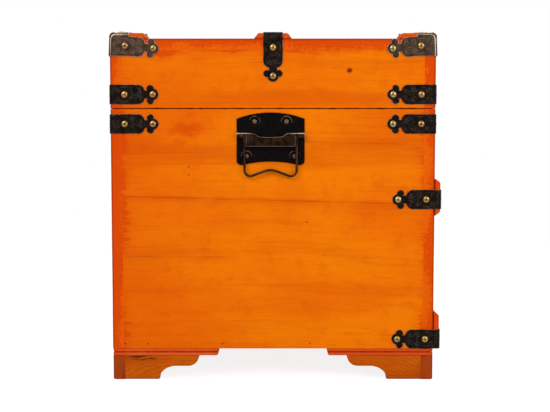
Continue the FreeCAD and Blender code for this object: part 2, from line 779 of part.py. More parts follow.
def handle_saddle():
    """Bronze saddle: two rolled ears for the bail's pins, joined by a skirted hood."""
    ear_start = BAIL_HALF_SPAN + BAIL_ELBOW + EAR_SIDE_GAP
    skirt_half = BAIL_HALF_SPAN - WIRE_RADIUS - SADDLE_LEG_GAP
    out = EAR_CENTRE + EAR_RADIUS + 1
    hood = saddle_hood(ear_start).cut(saddle_dip())
    for low_x, high_x in ((-ear_start, -skirt_half), (skirt_half, ear_start)):
        leg_room = block((low_x, -SADDLE_DROP - 1, SHEET), (high_x, WIRE_RADIUS + WEB_GAP, out))
        hood = hood.cut(leg_room)
    ears = [saddle_ear(ear_start), saddle_ear(-ear_start - EAR_LENGTH)]
    return joined([hood, *ears]).translated(V(0, -PIVOT_DROP, 0))


def bail():
    """Bent wire that hangs from the ears, its grip waved up in the middle."""
    pin_start = BAIL_HALF_SPAN + BAIL_ELBOW
    right = [
        V(pin_start + PIN_ROOT, 0, 0),
        V(BAIL_HALF_SPAN, 0, 0),
        V(BAIL_HALF_SPAN, -BAIL_STRAIGHT, 0),
        V(BAIL_LOBE_HALF, -BAIL_DEPTH, 0),
    ]
    crest = V(0, -BAIL_DEPTH + BAIL_CREST, 0)
    left = [V(-point.x, point.y, 0) for point in reversed(right)]
    radii = [BAIL_ELBOW, BAIL_BEND, BAIL_BEND, BAIL_CREST_BEND, BAIL_BEND, BAIL_BEND, BAIL_ELBOW]
    bar = bent_bar(wire_route([*right, crest, *left], radii), WIRE_SIDES, WIRE_RADIUS)
    pins = [
        Part.makeCylinder(WIRE_RADIUS, EAR_LENGTH, V(start, 0, 0), V(1, 0, 0))
        for start in (pin_start + PIN_ROOT, -pin_start - PIN_ROOT - EAR_LENGTH)
    ]
    return joined([bar, *pins]).translated(V(0, -PIVOT_DROP, EAR_CENTRE))


def handle_screws():
    seats = []
    for seat in handle_screw_seats():
        place = V(END_X - seat.z, HANDLE_OFFSET - seat.x, HANDLE_CROWN + seat.y)
        seats.append((place, V(-1, 0, 0)))
    return at_both_ends(seats)


# ---------------------------------------------------------------- back hinges
def stop_lug(start, sign):
    """Wedge on the outside of a leaf; two of them meet when the lid is fully open."""
    root_y = BACK_Y + LEAF_SHEET / 2
    along = V(0, math.sin(STOP_LEAN), sign * math.cos(STOP_LEAN))
    axis = V(start, HINGE_AXIS_Y, SEAM_MIDDLE)
    inner = axis + along * ((KNUCKLE_RADIUS + LEAF_NOTCH) / math.cos(STOP_LEAN))
    outer = axis + along * STOP_REACH
    points = [inner, outer, V(start, root_y, outer.z), V(start, root_y, inner.z)]
    return polygon_prism(points, V(STOP_WIDTH, 0, 0))


def hinge_screws(sign):
    """Seats on both hinges' leaves, above the seam or below it."""
    z = SEAM_MIDDLE + sign * HINGE_SCREW_RISE
    seats = []
    for side in (-1, 1):
        x = -HINGE_PITCH + side * HINGE_SCREW_HALF
        seats.append((V(x, BACK_Y + LEAF_SHEET, z), V(0, 1, 0)))
    return at_both_ends(seats)


def hinge_leaf(centre_x, on_lid):
    """Leaf on the back of the body or lid, with its share of the three knuckles and its stop."""
    sign = 1 if on_lid else -1
    low_x = centre_x - HINGE_LENGTH / 2
    third = HINGE_LENGTH / 3
    centre = (HINGE_AXIS_Y, SEAM_MIDDLE)
    near = SEAM_MIDDLE + sign * LEAF_NOTCH
    far = SEAM_MIDDLE + sign * (KNUCKLE_RADIUS + HINGE_LEAF)
    leaf = block(
        (low_x, BACK_Y, min(near, far)), (low_x + HINGE_LENGTH, BACK_Y + LEAF_SHEET, max(near, far))
    )
    own, other = ([1], [0, 2]) if on_lid else ([0, 2], [1])
    notches = [
        Part.makeCylinder(
            KNUCKLE_RADIUS + LEAF_NOTCH,
            third + 2 * KNUCKLE_SIDE_GAP,
            V(low_x + place * third - KNUCKLE_SIDE_GAP, *centre),
            V(1, 0, 0),
        )
        for place in other
    ]
    bore = PIN_RADIUS + PIN_FIT if on_lid else PIN_RADIUS
    knuckles = []
    for place in own:
        start = low_x + place * third + KNUCKLE_SIDE_GAP
        length = third - 2 * KNUCKLE_SIDE_GAP
        knuckles.append(barrel(start, length, KNUCKLE_RADIUS, *centre))
    stops = [stop_lug(x, sign) for x in (low_x, low_x + HINGE_LENGTH - STOP_WIDTH)]
    hole = Part.makeCylinder(bore, HINGE_LENGTH, V(low_x, *centre), V(1, 0, 0))
    return joined([leaf.cut(notches), *knuckles, *stops]).cut(hole)


def hinge_pin(centre_x):
    length = HINGE_LENGTH - 2 * KNUCKLE_SIDE_GAP
    start = V(centre_x - length / 2, HINGE_AXIS_Y, SEAM_MIDDLE)
    return Part.makeCylinder(PIN_RADIUS, length, start, V(1, 0, 0))


# ---------------------------------------------------------------- hasp
def hasp_thirds():
    third = HASP_WIDTH / 3
    return [-HASP_WIDTH / 2 + place * third for place in range(3)], third


def hasp_leaf():
    """Fixed leaf on the lid's front, with the two outer knuckles on raised necks."""
    starts, third = hasp_thirds()
    leaf = block(
        (-HASP_WIDTH / 2, FRONT_Y - LEAF_SHEET, HASP_AXIS_Z),
        (HASP_WIDTH / 2, FRONT_Y, HASP_AXIS_Z + HASP_LEAF_HEIGHT),
    )
    room = Part.makeCylinder(
        HASP_KNUCKLE_RADIUS + LEAF_NOTCH,
        third + 2 * KNUCKLE_SIDE_GAP,
        V(starts[1] - KNUCKLE_SIDE_GAP, HASP_AXIS_Y, HASP_AXIS_Z),
        V(1, 0, 0),
    )
    pieces = [leaf.cut(room)]
    neck_top = HASP_AXIS_Z + HASP_KNUCKLE_RADIUS * math.cos(math.pi / KNUCKLE_SIDES)
    for start in (starts[0], starts[2] + KNUCKLE_SIDE_GAP):
        length = third - KNUCKLE_SIDE_GAP
        pieces.append(barrel(start, length, HASP_KNUCKLE_RADIUS, HASP_AXIS_Y, HASP_AXIS_Z))
        pieces.append(block((start, HASP_AXIS_Y, HASP_AXIS_Z), (start + length, FRONT_Y, neck_top)))
    return joined(pieces).cut(hasp_bore(HASP_PIN_RADIUS))


def hasp_bore(radius):
    return Part.makeCylinder(
        radius, HASP_WIDTH, V(-HASP_WIDTH / 2, HASP_AXIS_Y, HASP_AXIS_Z), V(1, 0, 0)
    )


def hasp_flap():
    """Slotted flap, flipped up against the lid."""
    starts, third = hasp_thirds()
    near_y = HASP_AXIS_Y + HASP_INNER_OFFSET
    far_y = near_y + LEAF_SHEET
    foot, top = HASP_AXIS_Z + HASP_START, HASP_AXIS_Z + HASP_LENGTH
    half = HASP_WIDTH / 2
    strap = block((-half, near_y, foot), (half, far_y, top))
    corners = picked(strap, lambda box: any(is_line_at(box, x=x, z=top) for x in (-half, half)))
    strap = strap.makeFillet(HASP_END_ROUND, corners)
    own_start = starts[1] + KNUCKLE_SIDE_GAP / 2
    own_length = third - KNUCKLE_SIDE_GAP
    neck = block((own_start, near_y, HASP_AXIS_Z), (own_start + own_length, far_y, foot))
    knuckle = barrel(own_start, own_length, HASP_KNUCKLE_RADIUS, HASP_AXIS_Y, HASP_AXIS_Z)
    slot_foot = HASP_AXIS_Z + STAPLE_DROP - SLOT_LENGTH / 2
    slot = block((-SLOT_WIDTH / 2, near_y, slot_foot), (SLOT_WIDTH / 2, far_y, slot_foot + SLOT_LENGTH))
    return joined([strap, neck, knuckle]).cut(hasp_bore(HASP_PIN_RADIUS + PIN_FIT)).cut(slot)


def staple():
    """U of square bar that stands out through the flap's slot; both legs run into the board."""
    half = STAPLE_HEIGHT / 2
    inner = half - STAPLE_BAR
    root = FRONT_Y + STAPLE_ROOT
    bend = FRONT_Y - STAPLE_REACH + half

    def at(y, up):
        return V(-STAPLE_BAR / 2, y, STAPLE_Z + up)

    outline = [
        Part.makeLine(at(root, half), at(bend, half)),
        *chords(at(bend, half), at(bend - half, 0), at(bend, -half), STAPLE_FLATS),
        Part.makeLine(at(bend, -half), at(root, -half)),
        Part.makeLine(at(root, -half), at(root, -inner)),
        Part.makeLine(at(root, -inner), at(bend, -inner)),
        *chords(at(bend, -inner), at(bend - inner, 0), at(bend, inner), STAPLE_FLATS),
        Part.makeLine(at(bend, inner), at(root, inner)),
        Part.makeLine(at(root, inner), at(root, half)),
    ]
    return prism(outline, V(STAPLE_BAR, 0, 0))


def staple_plate():
    half = STAPLE_PLATE / 2
    plate = block((-half, FRONT_Y - LEAF_SHEET, STAPLE_Z - half), (half, FRONT_Y, STAPLE_Z + half))

    def corner(box):
        return any(is_line_at(box, x=x, z=STAPLE_Z + up) for x in (-half, half) for up in (-half, half))

    return plate.makeChamfer(STAPLE_PLATE_CORNER, picked(plate, corner))


def staple_screws():
    places = [(x, z) for x in (-1, 1) for z in (-1, 1)]
    return [
        (
            V(x * STAPLE_SCREW_HALF, FRONT_Y - LEAF_SHEET, STAPLE_Z + z * STAPLE_SCREW_HALF),
            V(0, -1, 0),
        )
        for x, z in places
    ]


# ---------------------------------------------------------------- assembly
def foot_nodes():
    """Four feet, mirrored from the front left one."""
    nodes = {}
    foot = front_left_foot()
    turns = {
        "front_left": as_drawn,
        "front_right": mirrored_x,
        "back_left": mirrored_y,
        "back_right": lambda shape: mirrored_x(mirrored_y(shape)),
    }
    blocks = []
    for corner, turned in turns.items():
        nodes["foot_bracket_" + corner] = [turned(foot["side"]), turned(foot["end"])]
        nodes["foot_plate_" + corner] = [turned(foot["plate"])]
        blocks.append(turned(foot["glue_block"]))
    nodes["foot_glue_blocks"] = blocks
    return nodes


def body_nodes():
    corner, corner_seats = corner_straps(BODY_STRAP_Z)
    upper, upper_seats = batten_straps(UPPER_BATTEN_STRAP_Z)
    lower, lower_seats = batten_straps(LOWER_BATTEN_STRAP_Z)
    staple_bar = staple()
    nodes = {name: [board] for name, board in carcass_boards().items()}
    nodes["front_panel"] = [nodes["front_panel"][0].cut(staple_bar)]
    nodes["front_batten_upper"] = [front_batten(UPPER_BATTEN_Z, BATTEN_CHAMFER)]
    nodes["front_batten_lower"] = [front_batten(FOOT_TOP, 0)]
    nodes["body_corner_straps"] = corner
    nodes["upper_batten_straps"] = upper
    nodes["lower_batten_straps"] = lower
    nodes["body_nails"] = nail_heads(corner_seats + upper_seats + lower_seats)
    nodes["body_screws"] = screw_heads(handle_screws() + hinge_screws(-1) + staple_screws())
    nodes["staple_plate"] = [staple_plate().cut(staple_bar)]
    nodes["staple"] = [staple_bar]
    plate, saddle = on_left_end(handle_plate()), on_left_end(handle_saddle())
    leaf, pin = hinge_leaf(-HINGE_PITCH, False), hinge_pin(-HINGE_PITCH)
    for side, turned in (("left", as_drawn), ("right", mirrored_x)):
        nodes["handle_plate_" + side] = [turned(plate)]
        nodes["handle_saddle_" + side] = [turned(saddle)]
        nodes["hinge_body_leaf_" + side] = [turned(leaf)]
        nodes["hinge_pin_" + side] = [turned(pin)]
    nodes.update(foot_nodes())
    return nodes


def lid_nodes():
    corner, corner_seats = corner_straps(LID_STRAP_Z)
    crown, crown_seats = crown_straps()
    caps, cap_seats = corner_caps()
    envelope = lid_envelope()
    boards = {**lid_boards(envelope), **lid_battens(envelope)}
    nodes = {name: [board] for name, board in boards.items()}
    nodes["lid_corner_straps"] = corner
    nodes["lid_middle_straps"] = crown
    nodes["lid_corner_caps"] = caps
    nodes["lid_nails"] = nail_heads(corner_seats + crown_seats + cap_seats)
    nodes["lid_screws"] = screw_heads(hinge_screws(1))
    leaf = hinge_leaf(-HINGE_PITCH, True)
    nodes["hinge_lid_leaf_left"] = [leaf]
    nodes["hinge_lid_leaf_right"] = [mirrored_x(leaf)]
    nodes["hasp_leaf"] = [hasp_leaf()]
    nodes["hasp_pin"] = [hasp_bore(HASP_PIN_RADIUS)]
    return nodes


def moving_nodes():
    left_bail = on_left_end(bail())
    return {
        "hasp_flap": [hasp_flap()],
        "bail_left": [left_bail],
        "bail_right": [mirrored_x(left_bail)],
    }


def main():
    os.makedirs("parts", exist_ok=True)
    to_origin = V(0, -FOOTPRINT_MIDDLE, 0)
    for name, solids in {**body_nodes(), **lid_nodes(), **moving_nodes()}.items():
        Part.makeCompound(solids).translated(to_origin).exportStep(f"parts/{name}.step")


main()
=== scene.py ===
"""Looks of the sea chest: finishes, eased edges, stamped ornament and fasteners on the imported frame.

Metres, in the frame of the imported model: +Z is up, +X runs along the chest, the front is at -Y.
"""

import json
import math
import random
from collections import namedtuple
from functools import partialmethod

import bmesh
import bpy
from mathutils import Matrix, Vector, noise


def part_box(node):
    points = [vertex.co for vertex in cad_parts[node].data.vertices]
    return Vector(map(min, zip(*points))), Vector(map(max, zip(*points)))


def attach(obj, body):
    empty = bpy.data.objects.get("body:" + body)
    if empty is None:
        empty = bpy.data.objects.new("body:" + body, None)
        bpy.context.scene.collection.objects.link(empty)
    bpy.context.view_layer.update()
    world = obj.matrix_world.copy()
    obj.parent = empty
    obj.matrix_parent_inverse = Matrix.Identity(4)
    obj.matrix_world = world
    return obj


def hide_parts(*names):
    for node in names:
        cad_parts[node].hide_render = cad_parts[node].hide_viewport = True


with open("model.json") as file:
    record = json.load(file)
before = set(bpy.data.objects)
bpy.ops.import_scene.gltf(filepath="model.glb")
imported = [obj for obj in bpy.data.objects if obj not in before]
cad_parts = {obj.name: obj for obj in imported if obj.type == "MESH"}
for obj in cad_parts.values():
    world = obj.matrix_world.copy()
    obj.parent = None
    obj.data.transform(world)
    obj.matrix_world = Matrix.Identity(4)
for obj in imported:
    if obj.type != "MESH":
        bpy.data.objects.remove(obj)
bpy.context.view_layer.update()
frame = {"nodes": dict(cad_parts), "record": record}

MM = 0.001
X, Y, Z = Vector((1, 0, 0)), Vector((0, 1, 0)), Vector((0, 0, 1))
WHITE = (1, 1, 1, 1)
RECORD = frame["record"]
BODY_OF = {node: body for body, nodes in RECORD["behaviour"]["bodies"].items() for node in nodes}

# -------- places, from the frame
FRONT_LOW, FRONT_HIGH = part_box("front_panel")
BATTEN_LOW, BATTEN_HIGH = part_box("lid_batten_front")
END_X = FRONT_LOW.x
FRONT_Y = FRONT_LOW.y
BACK_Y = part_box("back_panel")[1].y
MIDDLE_Y = (FRONT_Y + BACK_Y) / 2
BODY_TOP = FRONT_HIGH.z
LID_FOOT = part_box("lid_front_panel")[0].z
LID_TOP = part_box("lid_top_board")[1].z
CROWN = BATTEN_HIGH.z

# -------- sizes of the fittings
EDGE_ROUND = 4 * MM
BATTEN_CHAMFER = 6 * MM
SHEET = 1.2 * MM
STRAP_HALF = 13.5 * MM
SHOULDER = 49 * MM
SHOULDER_ROUND = 9 * MM
NECK_HALF = 5.6 * MM
TIP_NAIL = 60.5 * MM  # from the fold to the nail in an arm's tip
LOBE_BACK = 3.5 * MM
LOBE_SPREAD = 8.3 * MM
LOBE_RADIUS = 5 * MM
END_LOBE_RADIUS = 7.8 * MM
RIM_BEVEL = 0.3 * MM
CAP_SIDE = 26.6 * MM
CAP_SKIRT = 32 * MM
CAP_ARM_DROP = 16 * MM
CAP_ARM_TILT = math.radians(5.3)
CAP_FLARE = 1.4 * MM
CAP_FLARE_REACH = 20 * MM  # from the corner to where the cap lies flush
CAP_FLARE_BLEND = 10 * MM
CAP_MARGIN = 6 * MM  # plain rim between the top arm's ornament and the crease
CAP_ROUND = 6.4 * MM
CAP_FOLD = BATTEN_HIGH.y - BATTEN_LOW.y - BATTEN_CHAMFER  # where the chamfer begins
CAP_FOLD_TURN = math.atan2(CROWN - LID_TOP, BATTEN_CHAMFER)
CAP_TOP_DEPTH = 0.5 * MM  # what lies no further under the wood's top belongs to the top arm
CREASE_INSET = 2.2 * MM  # from the wood's edge to the crease on each face
CREASE_ROUND = 7 * MM
CREASE_RADIUS = 0.6 * MM
CREASE_STEP = 4.2 * MM

WELD = 1e-6
NEAR = 0.1 * MM  # edges this near a place are taken to lie on it
BOARD_EASE = 0.6 * MM
TOP_BOARD_EASE = 0.05 * MM
FITTING_EASE = 0.25 * MM
SMOOTH_LIMIT = math.radians(38)
EASE_LIMIT = math.radians(34)  # flatter edges belong to rounded faces


# -------- shader helpers
def colour(red, green, blue):
    """Linear colour from 8-bit display values."""
    channels = [value / 255 for value in (red, green, blue)]
    linear = [c / 12.92 if c <= 0.04045 else ((c + 0.055) / 1.055) ** 2.4 for c in channels]
    return (*linear, 1.0)


class Shader:
    """Short ways to add nodes to one tree. A value is a number, a colour, a vector or a socket."""

    def __init__(self, tree):
        self.tree = tree
        self.base = WHITE
        tree.nodes.clear()

    def add(self, kind, inputs=(), **settings):
        node = self.tree.nodes.new("ShaderNode" + kind)
        for name, value in settings.items():
            setattr(node, name, value)
        for key, value in dict(inputs).items():
            if isinstance(value, bpy.types.NodeSocket):
                self.tree.links.new(value, node.inputs[key])
            else:
                node.inputs[key].default_value = value
        return node

    def math(self, operation, *values):
        return self.add("Math", enumerate(values), operation=operation).outputs[0]

    plus = partialmethod(math, "ADD")
    minus = partialmethod(math, "SUBTRACT")
    times = partialmethod(math, "MULTIPLY")
    times_plus = partialmethod(math, "MULTIPLY_ADD")

    def distance(self, first, second):
        """Length of the hypotenuse over two sides."""
        squares = [self.times(value, value) for value in (first, second)]
        return self.math("SQRT", self.plus(*squares))

    def vector(self, operation, *values):
        return self.add("VectorMath", enumerate(values), operation=operation).outputs[0]

    def split(self, vector):
        return self.add("SeparateXYZ", {0: vector}).outputs

    def smooth(self, value, low, high, to_low=0.0, to_high=1.0):
        """Eased ramp of a value between two limits."""
        inputs = {0: value, 1: low, 2: high, 3: to_low, 4: to_high}
        return self.add("MapRange", inputs, interpolation_type="SMOOTHSTEP").outputs[0]

    def mix(self, factor, first, second):
        return self.add("Mix", {0: factor, 6: first, 7: second}, data_type="RGBA").outputs[2]

    def lay(self, tint, factor):
        """Lays a tint over the base colour."""
        self.base = self.mix(factor, self.base, tint)

    def noise(self, vector, scale, detail=2.0, roughness=0.5):
        inputs = {"Vector": vector, "Scale": scale, "Detail": detail, "Roughness": roughness}
        return self.add("TexNoise", inputs).outputs[0]

    def wear_and_painted_light(self):
        """How worn the mesh is and where light and shade are painted on it, as ease and the marking of
        faces left it.
        """
        return self.add("Attribute", attribute_name="wear_and_painted_light").outputs["Fac"]

    def bump(self, height, distance, strength=0.5):
        inputs = {"Strength": strength, "Distance": distance, "Height": height}
        return self.add("Bump", inputs).outputs[0]

    def surface(self, roughness, normal, specular=0.5, metallic=0.0):
        inputs = {"Base Color": self.base, "Roughness": roughness, "Normal": normal}
        inputs |= {"Specular IOR Level": specular, "Metallic": metallic}
        shader = self.add("BsdfPrincipled", inputs)
        self.add("OutputMaterial", {"Surface": shader.outputs[0]})


def new_material(name):
    material = bpy.data.materials.new(name)
    material.use_nodes = True
    return material, Shader(material.node_tree)


# -------- wood
Stain = namedtuple("Stain", "pale plain figure line rim seam end")


def stain_of(**tints):
    return Stain(**{name: colour(*tint) for name, tint in tints.items()})


ORANGE_STAIN = stain_of(
    pale=(240, 124, 3),
    plain=(232, 108, 3),
    figure=(208, 82, 4),
    line=(176, 64, 6),
    rim=(207, 56, 4),
    seam=(104, 16, 4),
    end=(232, 102, 4),
)
BROWN_STAIN = stain_of(
    pale=(206, 104, 12),
    plain=(192, 84, 6),
    figure=(166, 62, 6),
    line=(118, 42, 8),
    rim=(172, 70, 14),
    seam=(96, 30, 10),
    end=(123, 47, 28),
)
RED_STAIN = stain_of(
    pale=(226, 98, 40),
    plain=(212, 82, 28),
    figure=(196, 66, 20),
    line=(168, 48, 16),
    rim=(214, 72, 28),
    seam=(166, 42, 14),
    end=(190, 72, 38),
)
SCORCHED = colour(58, 34, 8)
RING_SPACING = 5 * MM
RIM_WIDTH = 14 * MM
RIM_TEAR = 34 * MM  # how far the noise tears the red margins' inner side
OVERHANG = 0.5 * MM  # a face this far outside the walls belongs to a batten and gets none of the painted corner shade


def wood(name, grain, seed, stain=ORANGE_STAIN, pith=(70 * MM, 0.0), marks=None):
    """Stained pine with its grain along one axis. The stain gathers towards the chest's outer edges.

    seed shifts the figure, pith is where the rings' centre lies across the grain, and marks adds
    a board's own marks, from its place on the chest's end in millimetres.
    """
    material, s = new_material(name)
    place = s.add("TexCoord").outputs
    point = place["Object"]
    axis = "xyz".index(grain)
    x, y, z = s.split(point)
    shifted = s.vector("ADD", point, (1.7 * seed, 2.3 * seed, 3.1 * seed))
    sway = s.noise(shifted, 3.0)
    bent = s.vector("MULTIPLY_ADD", sway, [0 if i == axis else 0.03 for i in range(3)], shifted)

    def stretched(along, across, detail, roughness):
        """Noise at one scale along the grain and another across it."""
        scale = [across] * 3
        scale[axis] = along
        return s.noise(s.vector("MULTIPLY", bent, scale), 1.0, detail, roughness)

    mottle = stretched(4, 9, 4.0, 0.65)
    figure = stretched(1.1, 46, 3.0, 0.55)
    lines = stretched(5, 300, 4.0, 0.7)
    dashes = stretched(34, 620, 2.0, 0.5)
    streaks = stretched(14, 1100, 3.0, 0.6)
    fibres = stretched(70, 2600, 2.0, 0.6)
    clouds = s.noise(bent, 36.0, 4.0, 0.65)

    s.base = s.mix(s.smooth(mottle, 0.36, 0.62), stain.plain, stain.pale)
    for value, low, high, strength, tint in (
        (clouds, 0.52, 0.7, 0.26, stain.figure),
        (figure, 0.5, 0.72, 0.5, stain.figure),
        (lines, 0.53, 0.64, 0.2, stain.figure),
        (lines, 0.64, 0.72, 0.3, stain.line),
        (dashes, 0.68, 0.74, 0.4, stain.line),
        (streaks, 0.48, 0.62, 0.16, stain.figure),
        (fibres, 0.5, 0.62, 0.12, stain.line),
    ):
        s.lay(tint, s.smooth(value, low, high, 0.0, strength))

    # rings and pores on the end grain
    across = [value for i, value in enumerate((x, y, z)) if i != axis]
    away = s.distance(*[s.plus(value, shift) for value, shift in zip(across, pith)])
    ring = s.math("FRACT", s.times_plus(sway, 4.0, s.math("DIVIDE", away, RING_SPACING)))
    pores = s.noise(point, 900.0, 2.0, 0.6)
    sawn = s.mix(s.smooth(pores, 0.4, 0.65, 0.0, 0.2), stain.end, stain.line)
    sawn = s.mix(s.times(s.math("POWER", ring, 3.0), 0.22), sawn, stain.line)
    facing = s.math("ABSOLUTE", s.split(place["Normal"])[axis])
    s.lay(sawn, s.smooth(facing, 0.6, 0.85))

    # ragged red margins: the middle one of the distances inward from side, end and top
    side = s.minus(BACK_Y - MIDDLE_Y, s.math("ABSOLUTE", s.minus(y, MIDDLE_Y)))
    end = s.minus(-END_X, s.math("ABSOLUTE", x))
    top = s.minus(LID_TOP, z)
    upper = s.math("MAXIMUM", side, end)
    inward = s.math("MAXIMUM", s.math("MINIMUM", side, end), s.math("MINIMUM", upper, top))
    torn = s.plus(s.noise(point, 26.0, 5.0, 0.6), stretched(30, 260, 3.0, 0.6))
    ragged = s.times_plus(s.minus(torn, 1.0), -RIM_TEAR, inward)
    ragged = s.plus(ragged, s.smooth(s.noise(shifted, 9.0), 0.3, 0.7, -7 * MM, 8 * MM))
    soft = s.smooth(s.noise(shifted, 11.0), 0.42, 0.6, 0.8 * MM, 2.4 * MM)
    margin = s.smooth(ragged, s.minus(RIM_WIDTH, soft), s.plus(RIM_WIDTH, soft), 0.62, 0.0)
    margin = s.times(margin, s.smooth(mottle, 0.3, 0.7, 0.7, 1.0))
    s.lay(stain.rim, margin)
    s.lay(stain.rim, s.smooth(ragged, 0.0, 2.4 * RIM_WIDTH, 0.42, 0.0))

    # painted shade on the rounded upright corners, standing in for the rounding turning away from the
    # light
    inside = s.math("MINIMUM", s.smooth(side, -OVERHANG, 0.0), s.smooth(top, -OVERHANG, 0.0))
    s.lay(stain.seam, s.times(inside, s.smooth(inward, 0.6 * MM, EDGE_ROUND, 0.45, 0.0)))

    if marks:
        marks(s, s.times(s.minus(MIDDLE_Y, y), 1 / MM), s.times(z, 1 / MM), stain)

    # painted shade along the eased edges, laid unevenly: it draws the dark seam between lid and body,
    # and darkens the other eased edges alike
    uneven = s.smooth(s.noise(point, 160.0, 3.0, 0.6), 0.35, 0.65, 0.55, 0.95)
    s.lay(stain.seam, s.times(s.wear_and_painted_light(), uneven))

    relief = s.plus(s.times(fibres, 0.5), lines)
    roughness = s.smooth(mottle, 0.3, 0.7, 0.5, 0.64)
    s.surface(roughness, s.bump(relief, 0.1 * MM, 0.6), specular=0.02)
    return material


def spot(s, u, z, at, radius, softness):
    """One within a radius of a place, fading to nothing outside."""
    away = s.distance(s.minus(u, at[0]), s.minus(z, at[1]))
    return s.smooth(away, radius, radius + softness, 1.0, 0.0)


def face_noise(s, u, z, scale, detail=3.0, roughness=0.5):
    """Noise over an end of the chest, at one scale across and another upward."""
    place = s.add("CombineXYZ", {0: u, 1: z}).outputs[0]
    return s.noise(s.vector("MULTIPLY", place, (*scale, 0)), 1.0, detail, roughness)


# Places on the ends in millimetres: across from the middle, seen from outside, and height.
# Glue joints and dark grain between the staves: start, end and how plain they are.
STAVE_JOINTS = (
    ((-219, 316.5), (-60, 319.5), 0.5),
    ((38, 333), (190, 330), 0.5),
    ((38, 347), (110, 345), 0.35),
    ((-213, 258), (163, 248), 0.85),
    ((-219, 174), (-70, 173), 0.6),
)
PIN_HOLES = ((-207, 51), (-175, 51), (-71, 51), (52, 51), (-117, 298.6), (-117, 287.4), (47, 222))
REDDENED = (-119.5, 351)
KNOT = (105.5, 431.5)
SCORCH = (-186, 30.6)
FOOT_PITH = (120, -150)


def end_panel_marks(s, u, z, stain):
    """Glue joints with darker wood along them, redder stain, and old pin holes."""
    s.lay(stain.rim, s.smooth(u, -220, -10, 0.32, 0.0))
    s.lay(stain.figure, s.times(s.smooth(z, 270, 350), s.smooth(u, 50, 140, 0.0, 0.28)))
    patchy = s.smooth(face_noise(s, u, z, (0.016, 0.06)), 0.35, 0.6, 0.3, 1.0)
    for (start_u, start_z), (end_u, end_z), plain in STAVE_JOINTS:
        slope = (end_z - start_z) / (end_u - start_u)
        above = s.minus(z, s.times_plus(u, slope, start_z - start_u * slope))
        begun = s.smooth(u, start_u - 16, start_u)
        shown = s.times(begun, s.smooth(u, end_u - 20, end_u + 40, plain, 0.0))
        strength = s.times(shown, patchy)
        shade = s.times(s.smooth(above, -11, 0), s.smooth(above, 0, 5, 0.7, 0.0))
        line = s.smooth(s.math("ABSOLUTE", above), 0.1, 0.9, 1.0, 0.0)
        s.lay(stain.figure, s.times(shade, strength))
        s.lay(stain.line, s.times(line, strength))
    flames = s.smooth(face_noise(s, u, z, (0.04, 0.064), 4.0, 0.6), 0.42, 0.6, 0.0, 0.6)
    s.lay(stain.rim, s.times(spot(s, u, z, REDDENED, 6, 30), flames))
    for hole in PIN_HOLES:
        s.lay(stain.seam, spot(s, u, z, hole, 0.7, 0.6))


def lid_end_marks(s, u, z, stain):
    """Redder stain, and a torn pin knot in a darker ring."""
    s.lay(stain.rim, s.smooth(u, -220, -60, 0.24, 0.04))
    s.lay(stain.rim, s.smooth(z, LID_TOP / MM - 26, LID_TOP / MM - 12, 0.0, 0.24))
    torn = s.times_plus(face_noise(s, u, z, (0.5, 0.5), 2.0), 4, -2)
    u, z = s.plus(u, torn), s.plus(z, torn)
    s.lay(stain.line, s.times(spot(s, u, z, KNOT, 3.0, 2.6), 0.5))
    s.lay(stain.seam, s.times(spot(s, u, z, KNOT, 2.7, 0.8), 0.85))


def foot_marks(s, u, z, stain):
    """Wide curved grain, and a scorched streak under the plate of one foot."""
    across = s.minus(s.math("ABSOLUTE", u), FOOT_PITH[0])
    away = s.distance(across, s.minus(z, FOOT_PITH[1]))
    sway = face_noise(s, u, z, (0.014, 0.04))
    rings = s.times_plus(sway, 3.0, s.math("DIVIDE", away, RING_SPACING / MM))
    s.lay(stain.figure, s.smooth(s.math("FRACT", rings), 0.35, 1.0, 0.0, 0.42))

    # distances across count little, so that the spot is drawn out to a streak
    near = s.times_plus(s.minus(u, SCORCH[0]), 0.16, SCORCH[0])
    torn = s.smooth(face_noise(s, u, z, (0.07, 0.42)), 0.4, 0.56)
    s.lay(SCORCHED, s.times(spot(s, near, z, SCORCH, 1.2, 3.8), torn))


# -------- metals
def lacquered_iron(name, *tints):
    """Black lacquer over stamped sheet, rubbed through a little on what stands proud, with painted
    highlights on its raised ornament and eased edges.
    """
    material, s = new_material(name)
    dark, plain, rubbed_and_highlight = [colour(*tint) for tint in tints]
    point = s.add("TexCoord").outputs["Object"]
    patches = s.noise(point, 130.0, 4.0, 0.6)
    grit = s.noise(point, 1500.0)
    # marked faces: a painted highlight on ridges, beads and edges, partly lacquer rubbed through
    shown = s.times(s.wear_and_painted_light(), s.smooth(patches, 0.35, 0.62))
    s.base = s.mix(s.smooth(patches, 0.3, 0.75), dark, plain)
    s.lay(rubbed_and_highlight, shown)
    relief = s.bump(s.plus(grit, patches), 0.05 * MM)
    s.surface(s.smooth(grit, 0.3, 0.7, 0.3, 0.46), relief, 0.03, s.times(shown, 0.6))
    return material


def aged_metal(name, roughness, *tints):
    """Antiqued plating: dark in tarnished patches, and bright on marked faces, partly where hands and
    cloths rub it and partly as painted highlights.
    """
    material, s = new_material(name)
    dark, plain, bright = [colour(*tint) for tint in tints]
    point = s.add("TexCoord").outputs["Object"]
    patches = s.noise(point, 90.0, 5.0, 0.65)
    tarnish = s.noise(point, 420.0, 4.0, 0.6)
    grit = s.noise(point, 1800.0)
    s.base = s.mix(s.smooth(patches, 0.35, 0.65), dark, plain)
    s.lay(dark, s.smooth(tarnish, 0.5, 0.7, 0.0, 0.6))
    # painted highlight, partly rubbed wear, on the marked faces
    s.lay(bright, s.times(s.wear_and_painted_light(), s.smooth(tarnish, 0.3, 0.55, 0.4, 1.0)))
    uneven = s.smooth(grit, 0.3, 0.7, roughness - 0.05, roughness + 0.1)
    s.surface(uneven, s.bump(s.plus(grit, tarnish), 0.04 * MM), metallic=1.0)
    return material


